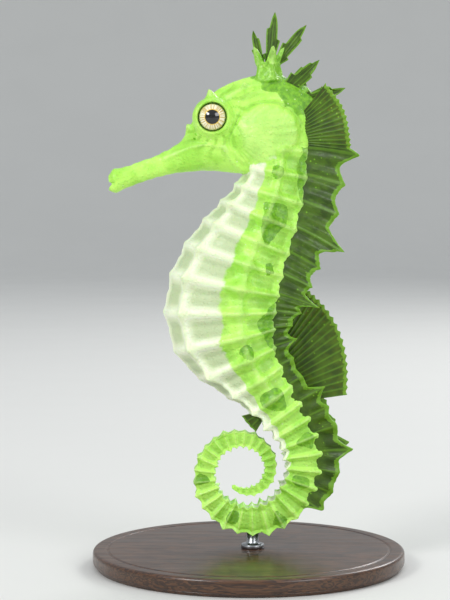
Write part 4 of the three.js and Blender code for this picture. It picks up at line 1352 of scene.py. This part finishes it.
class MakeSkin(bpy.types.Operator):
    """Model one skin over the head, snout, gill covers, neck, trunk and tail"""

    bl_idname = "seahorse.skin"
    bl_label = "Skin"

    def execute(self, context):
        sizes, paint = context.scene.seahorse_sizes, context.scene.seahorse_colours
        shoulders = [shoulder_mesh(1), shoulder_mesh(-1)]
        skin = union([body_mesh(sizes), head_mesh(), crown_mesh(), *shoulders])
        heal_seams(skin)
        refine_lids(skin)
        numbered = ("trunk_", "tail_", "gill_cover_")
        covered = ["head", "snout", "neck"]
        covered += [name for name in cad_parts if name.startswith(numbered)]
        finished(skin, "seahorse_skin", skin_material(paint), covered)
        return {"FINISHED"}


class MakeEyes(bpy.types.Operator):
    """Model the two eyes"""

    bl_idname = "seahorse.eyes"
    bl_label = "Eyes"

    def execute(self, context):
        for name, side in (("left", 1), ("right", -1)):
            middle = in_head(EYE["along"], EYE["up"], -side * EYE["out"]) * MM
            material = eye_material("eye_" + name, middle, context.scene.seahorse_colours)
            finished(eye_mesh(side), "seahorse_eye_" + name, material, ["eye_" + name])
        return {"FINISHED"}


class MakeMane(bpy.types.Operator):
    """Model the fronds down the back, on the nape and on the coronet"""

    bl_idname = "seahorse.mane"
    bl_label = "Mane and fronds"

    def execute(self, context):
        sizes, paint = context.scene.seahorse_sizes, context.scene.seahorse_colours
        material = fin_material(paint)
        finished(gather([mane_strip(1, sizes), mane_strip(-1, sizes)]), "mane", material)
        finished(gather(list(nape_fronds())), "nape_fronds", material)
        finished(gather(list(crown_fronds())), "coronet_fronds", material, ["coronet"])
        return {"FINISHED"}


class MakeFins(bpy.types.Operator):
    """Model the fin of the back, the two front fins and the small rear fin"""

    bl_idname = "seahorse.fins"
    bl_label = "Fins"

    def execute(self, context):
        material = fin_material(context.scene.seahorse_colours)
        material.name = "seahorse_fin_rays"
        finished(fan(17, 26, dorsal_ray), "dorsal_fin_membrane", material, ["dorsal_fin"])
        for name, side in (("left", 1), ("right", -1)):
            fin = fan(14, 20, pectoral_ray(side), ray_size=0.4, web_size=0.18, wave=0.25)
            finished(fin, "pectoral_membrane_" + name, material, ["pectoral_fin_" + name])
        fin = fan(4, 10, anal_ray, ray_size=0.34, wave=0.05)
        finished(fin, "anal_fin_membrane", material, ["anal_fin"])
        return {"FINISHED"}


# The groove near the base's edge: how far in and how deep, and each corner's rounding.
BASE_GROOVE = ((2.6, 0, 0.3), (2.9, 0.3, 0.35), (3.2, 0, 0.3))


class MakeStand(bpy.types.Operator):
    """Model the round base and the rod"""

    bl_idname = "seahorse.stand"
    bl_label = "Stand"

    def execute(self, context):
        sizes, paint = context.scene.seahorse_sizes, context.scene.seahorse_colours
        _, high = box_mm("stand_base")
        radius, top = high.x, high.z
        outline = rounded([
            (0, 0, 0), (radius - 0.8, 0, 0), (radius - 0.45, 0.5, 0.4), (radius, 1.0, 0.5),
            (radius, top, 1.0),
            *[(radius - inset, top - deep, soft) for inset, deep, soft in BASE_GROOVE], (0, top, 0),
        ], sizes.base_edge / MM)
        base = turned_piece(outline, 144)
        finished(base, "base_disc", walnut_material(paint), ["stand_base"])
        low, high = box_mm("stand_rod")
        middle, radius = (low + high) / 2, (high.x - low.x) / 2
        collar = sizes.collar_radius / MM
        outline = rounded([
            (0, top, 0), (collar, top, 0), (collar, top + 0.9, 0.4), (radius + 0.25, top + 0.9, 0),
            (radius, top + 1.15, 0), (radius, high.z, 0), (0, high.z, 0),
        ], 0.8)
        rod = turned_piece(outline, 48, (middle.x, middle.y))
        finished(rod, "rod_and_collar", steel_material(paint), ["stand_rod"])
        return {"FINISHED"}


BACKDROP = 1.0  # the radius in metres of the floor's flat part
BACKDROP_RISE = 0.5  # how far the bowl round it rises and spreads, over that radius
SKY = (0.9, 0.94, 1.0, 1)
SKY_STRENGTH = 0.62
SENSOR = 36.0
LAMPS = (
    # name, place in metres, power in watts and width in metres
    ("key", (-0.44, -0.44, 0.42), 2.3, 0.2),
    ("fill", (0.5, -0.5, 0.38), 2.0, 0.36),
    ("rim", (0.35, 0.5, 0.45), 1.9, 0.25),
    ("top", (0.0, 0.05, 0.7), 0.6, 0.4),
)


def aimed(thing, name, place, aim):
    """Puts a lamp or a camera in the scene, turned towards a point."""
    made = bpy.data.objects.new(name, thing)
    made.location = place
    made.rotation_euler = (aim - made.location).to_track_quat("-Z", "Y").to_euler()
    bpy.context.scene.collection.objects.link(made)
    return made


class MakeStage(bpy.types.Operator):
    """Lay the floor, and set the lights and the camera"""

    bl_idname = "seahorse.stage"
    bl_label = "Stage"

    def execute(self, context):
        scene = context.scene
        stage, paint = scene.seahorse_stage, scene.seahorse_colours
        rise = BACKDROP * BACKDROP_RISE
        outline = [(0, 0), (BACKDROP / 2, 0)]
        for k in range(13):
            a = k / 12 * math.pi / 2
            outline.append((BACKDROP + rise * math.sin(a), rise * (1 - math.cos(a))))
        ground = turned_piece(outline, 96)
        made_object(ground, "studio_floor", [floor_material(paint)])

        world = bpy.data.worlds.new("studio")
        world.use_nodes = True
        light = world.node_tree.nodes["Background"]
        light.inputs["Color"].default_value = SKY
        light.inputs["Strength"].default_value = SKY_STRENGTH
        scene.world = world
        aim = Vector((stage.aim_x, 0, stage.aim_z))
        for name, place, watts, width in LAMPS:
            lamp = bpy.data.lights.new(name, "AREA")
            lamp.energy, lamp.size = watts, width
            aimed(lamp, name, place, aim).visible_camera = False

        lens = bpy.data.cameras.new("camera")
        lens.lens, lens.sensor_width, lens.clip_start = stage.lens, SENSOR, 0.01
        back = Vector((0, -math.cos(stage.elevation), math.sin(stage.elevation)))
        scene.camera = aimed(lens, "camera", aim + back * (stage.across * stage.lens / SENSOR), aim)
        scene.view_settings.view_transform = "Standard"
        return {"FINISHED"}


OPERATORS = (MakeSkin, MakeEyes, MakeMane, MakeFins, MakeStand, MakeStage)


class SeahorsePanel(bpy.types.Panel):
    """The seahorse's pieces, sizes and colours"""

    bl_label = "Seahorse"
    bl_idname = "VIEW3D_PT_seahorse"
    bl_space_type = "VIEW_3D"
    bl_region_type = "UI"
    bl_category = "Seahorse"

    def draw(self, context):
        for operator in OPERATORS:
            self.layout.operator(operator.bl_idname)
        scene = context.scene
        for group in (scene.seahorse_sizes, scene.seahorse_colours, scene.seahorse_stage):
            box = self.layout.box()
            for name in group.__annotations__:
                box.prop(group, name)


CLASSES = (SeahorseColours, SeahorseSizes, SeahorseStage, *OPERATORS, SeahorsePanel)


def register():
    for each in CLASSES:
        bpy.utils.register_class(each)
    bpy.types.Scene.seahorse_colours = bpy.props.PointerProperty(type=SeahorseColours)
    bpy.types.Scene.seahorse_sizes = bpy.props.PointerProperty(type=SeahorseSizes)
    bpy.types.Scene.seahorse_stage = bpy.props.PointerProperty(type=SeahorseStage)


def unregister():
    del bpy.types.Scene.seahorse_stage, bpy.types.Scene.seahorse_sizes, bpy.types.Scene.seahorse_colours
    for each in reversed(CLASSES):
        bpy.utils.unregister_class(each)


def main():
    register()
    bpy.ops.seahorse.skin()
    bpy.ops.seahorse.eyes()
    bpy.ops.seahorse.mane()
    bpy.ops.seahorse.fins()
    bpy.ops.seahorse.stand()
    bpy.ops.seahorse.stage()


if __name__ == "__main__":
    main()
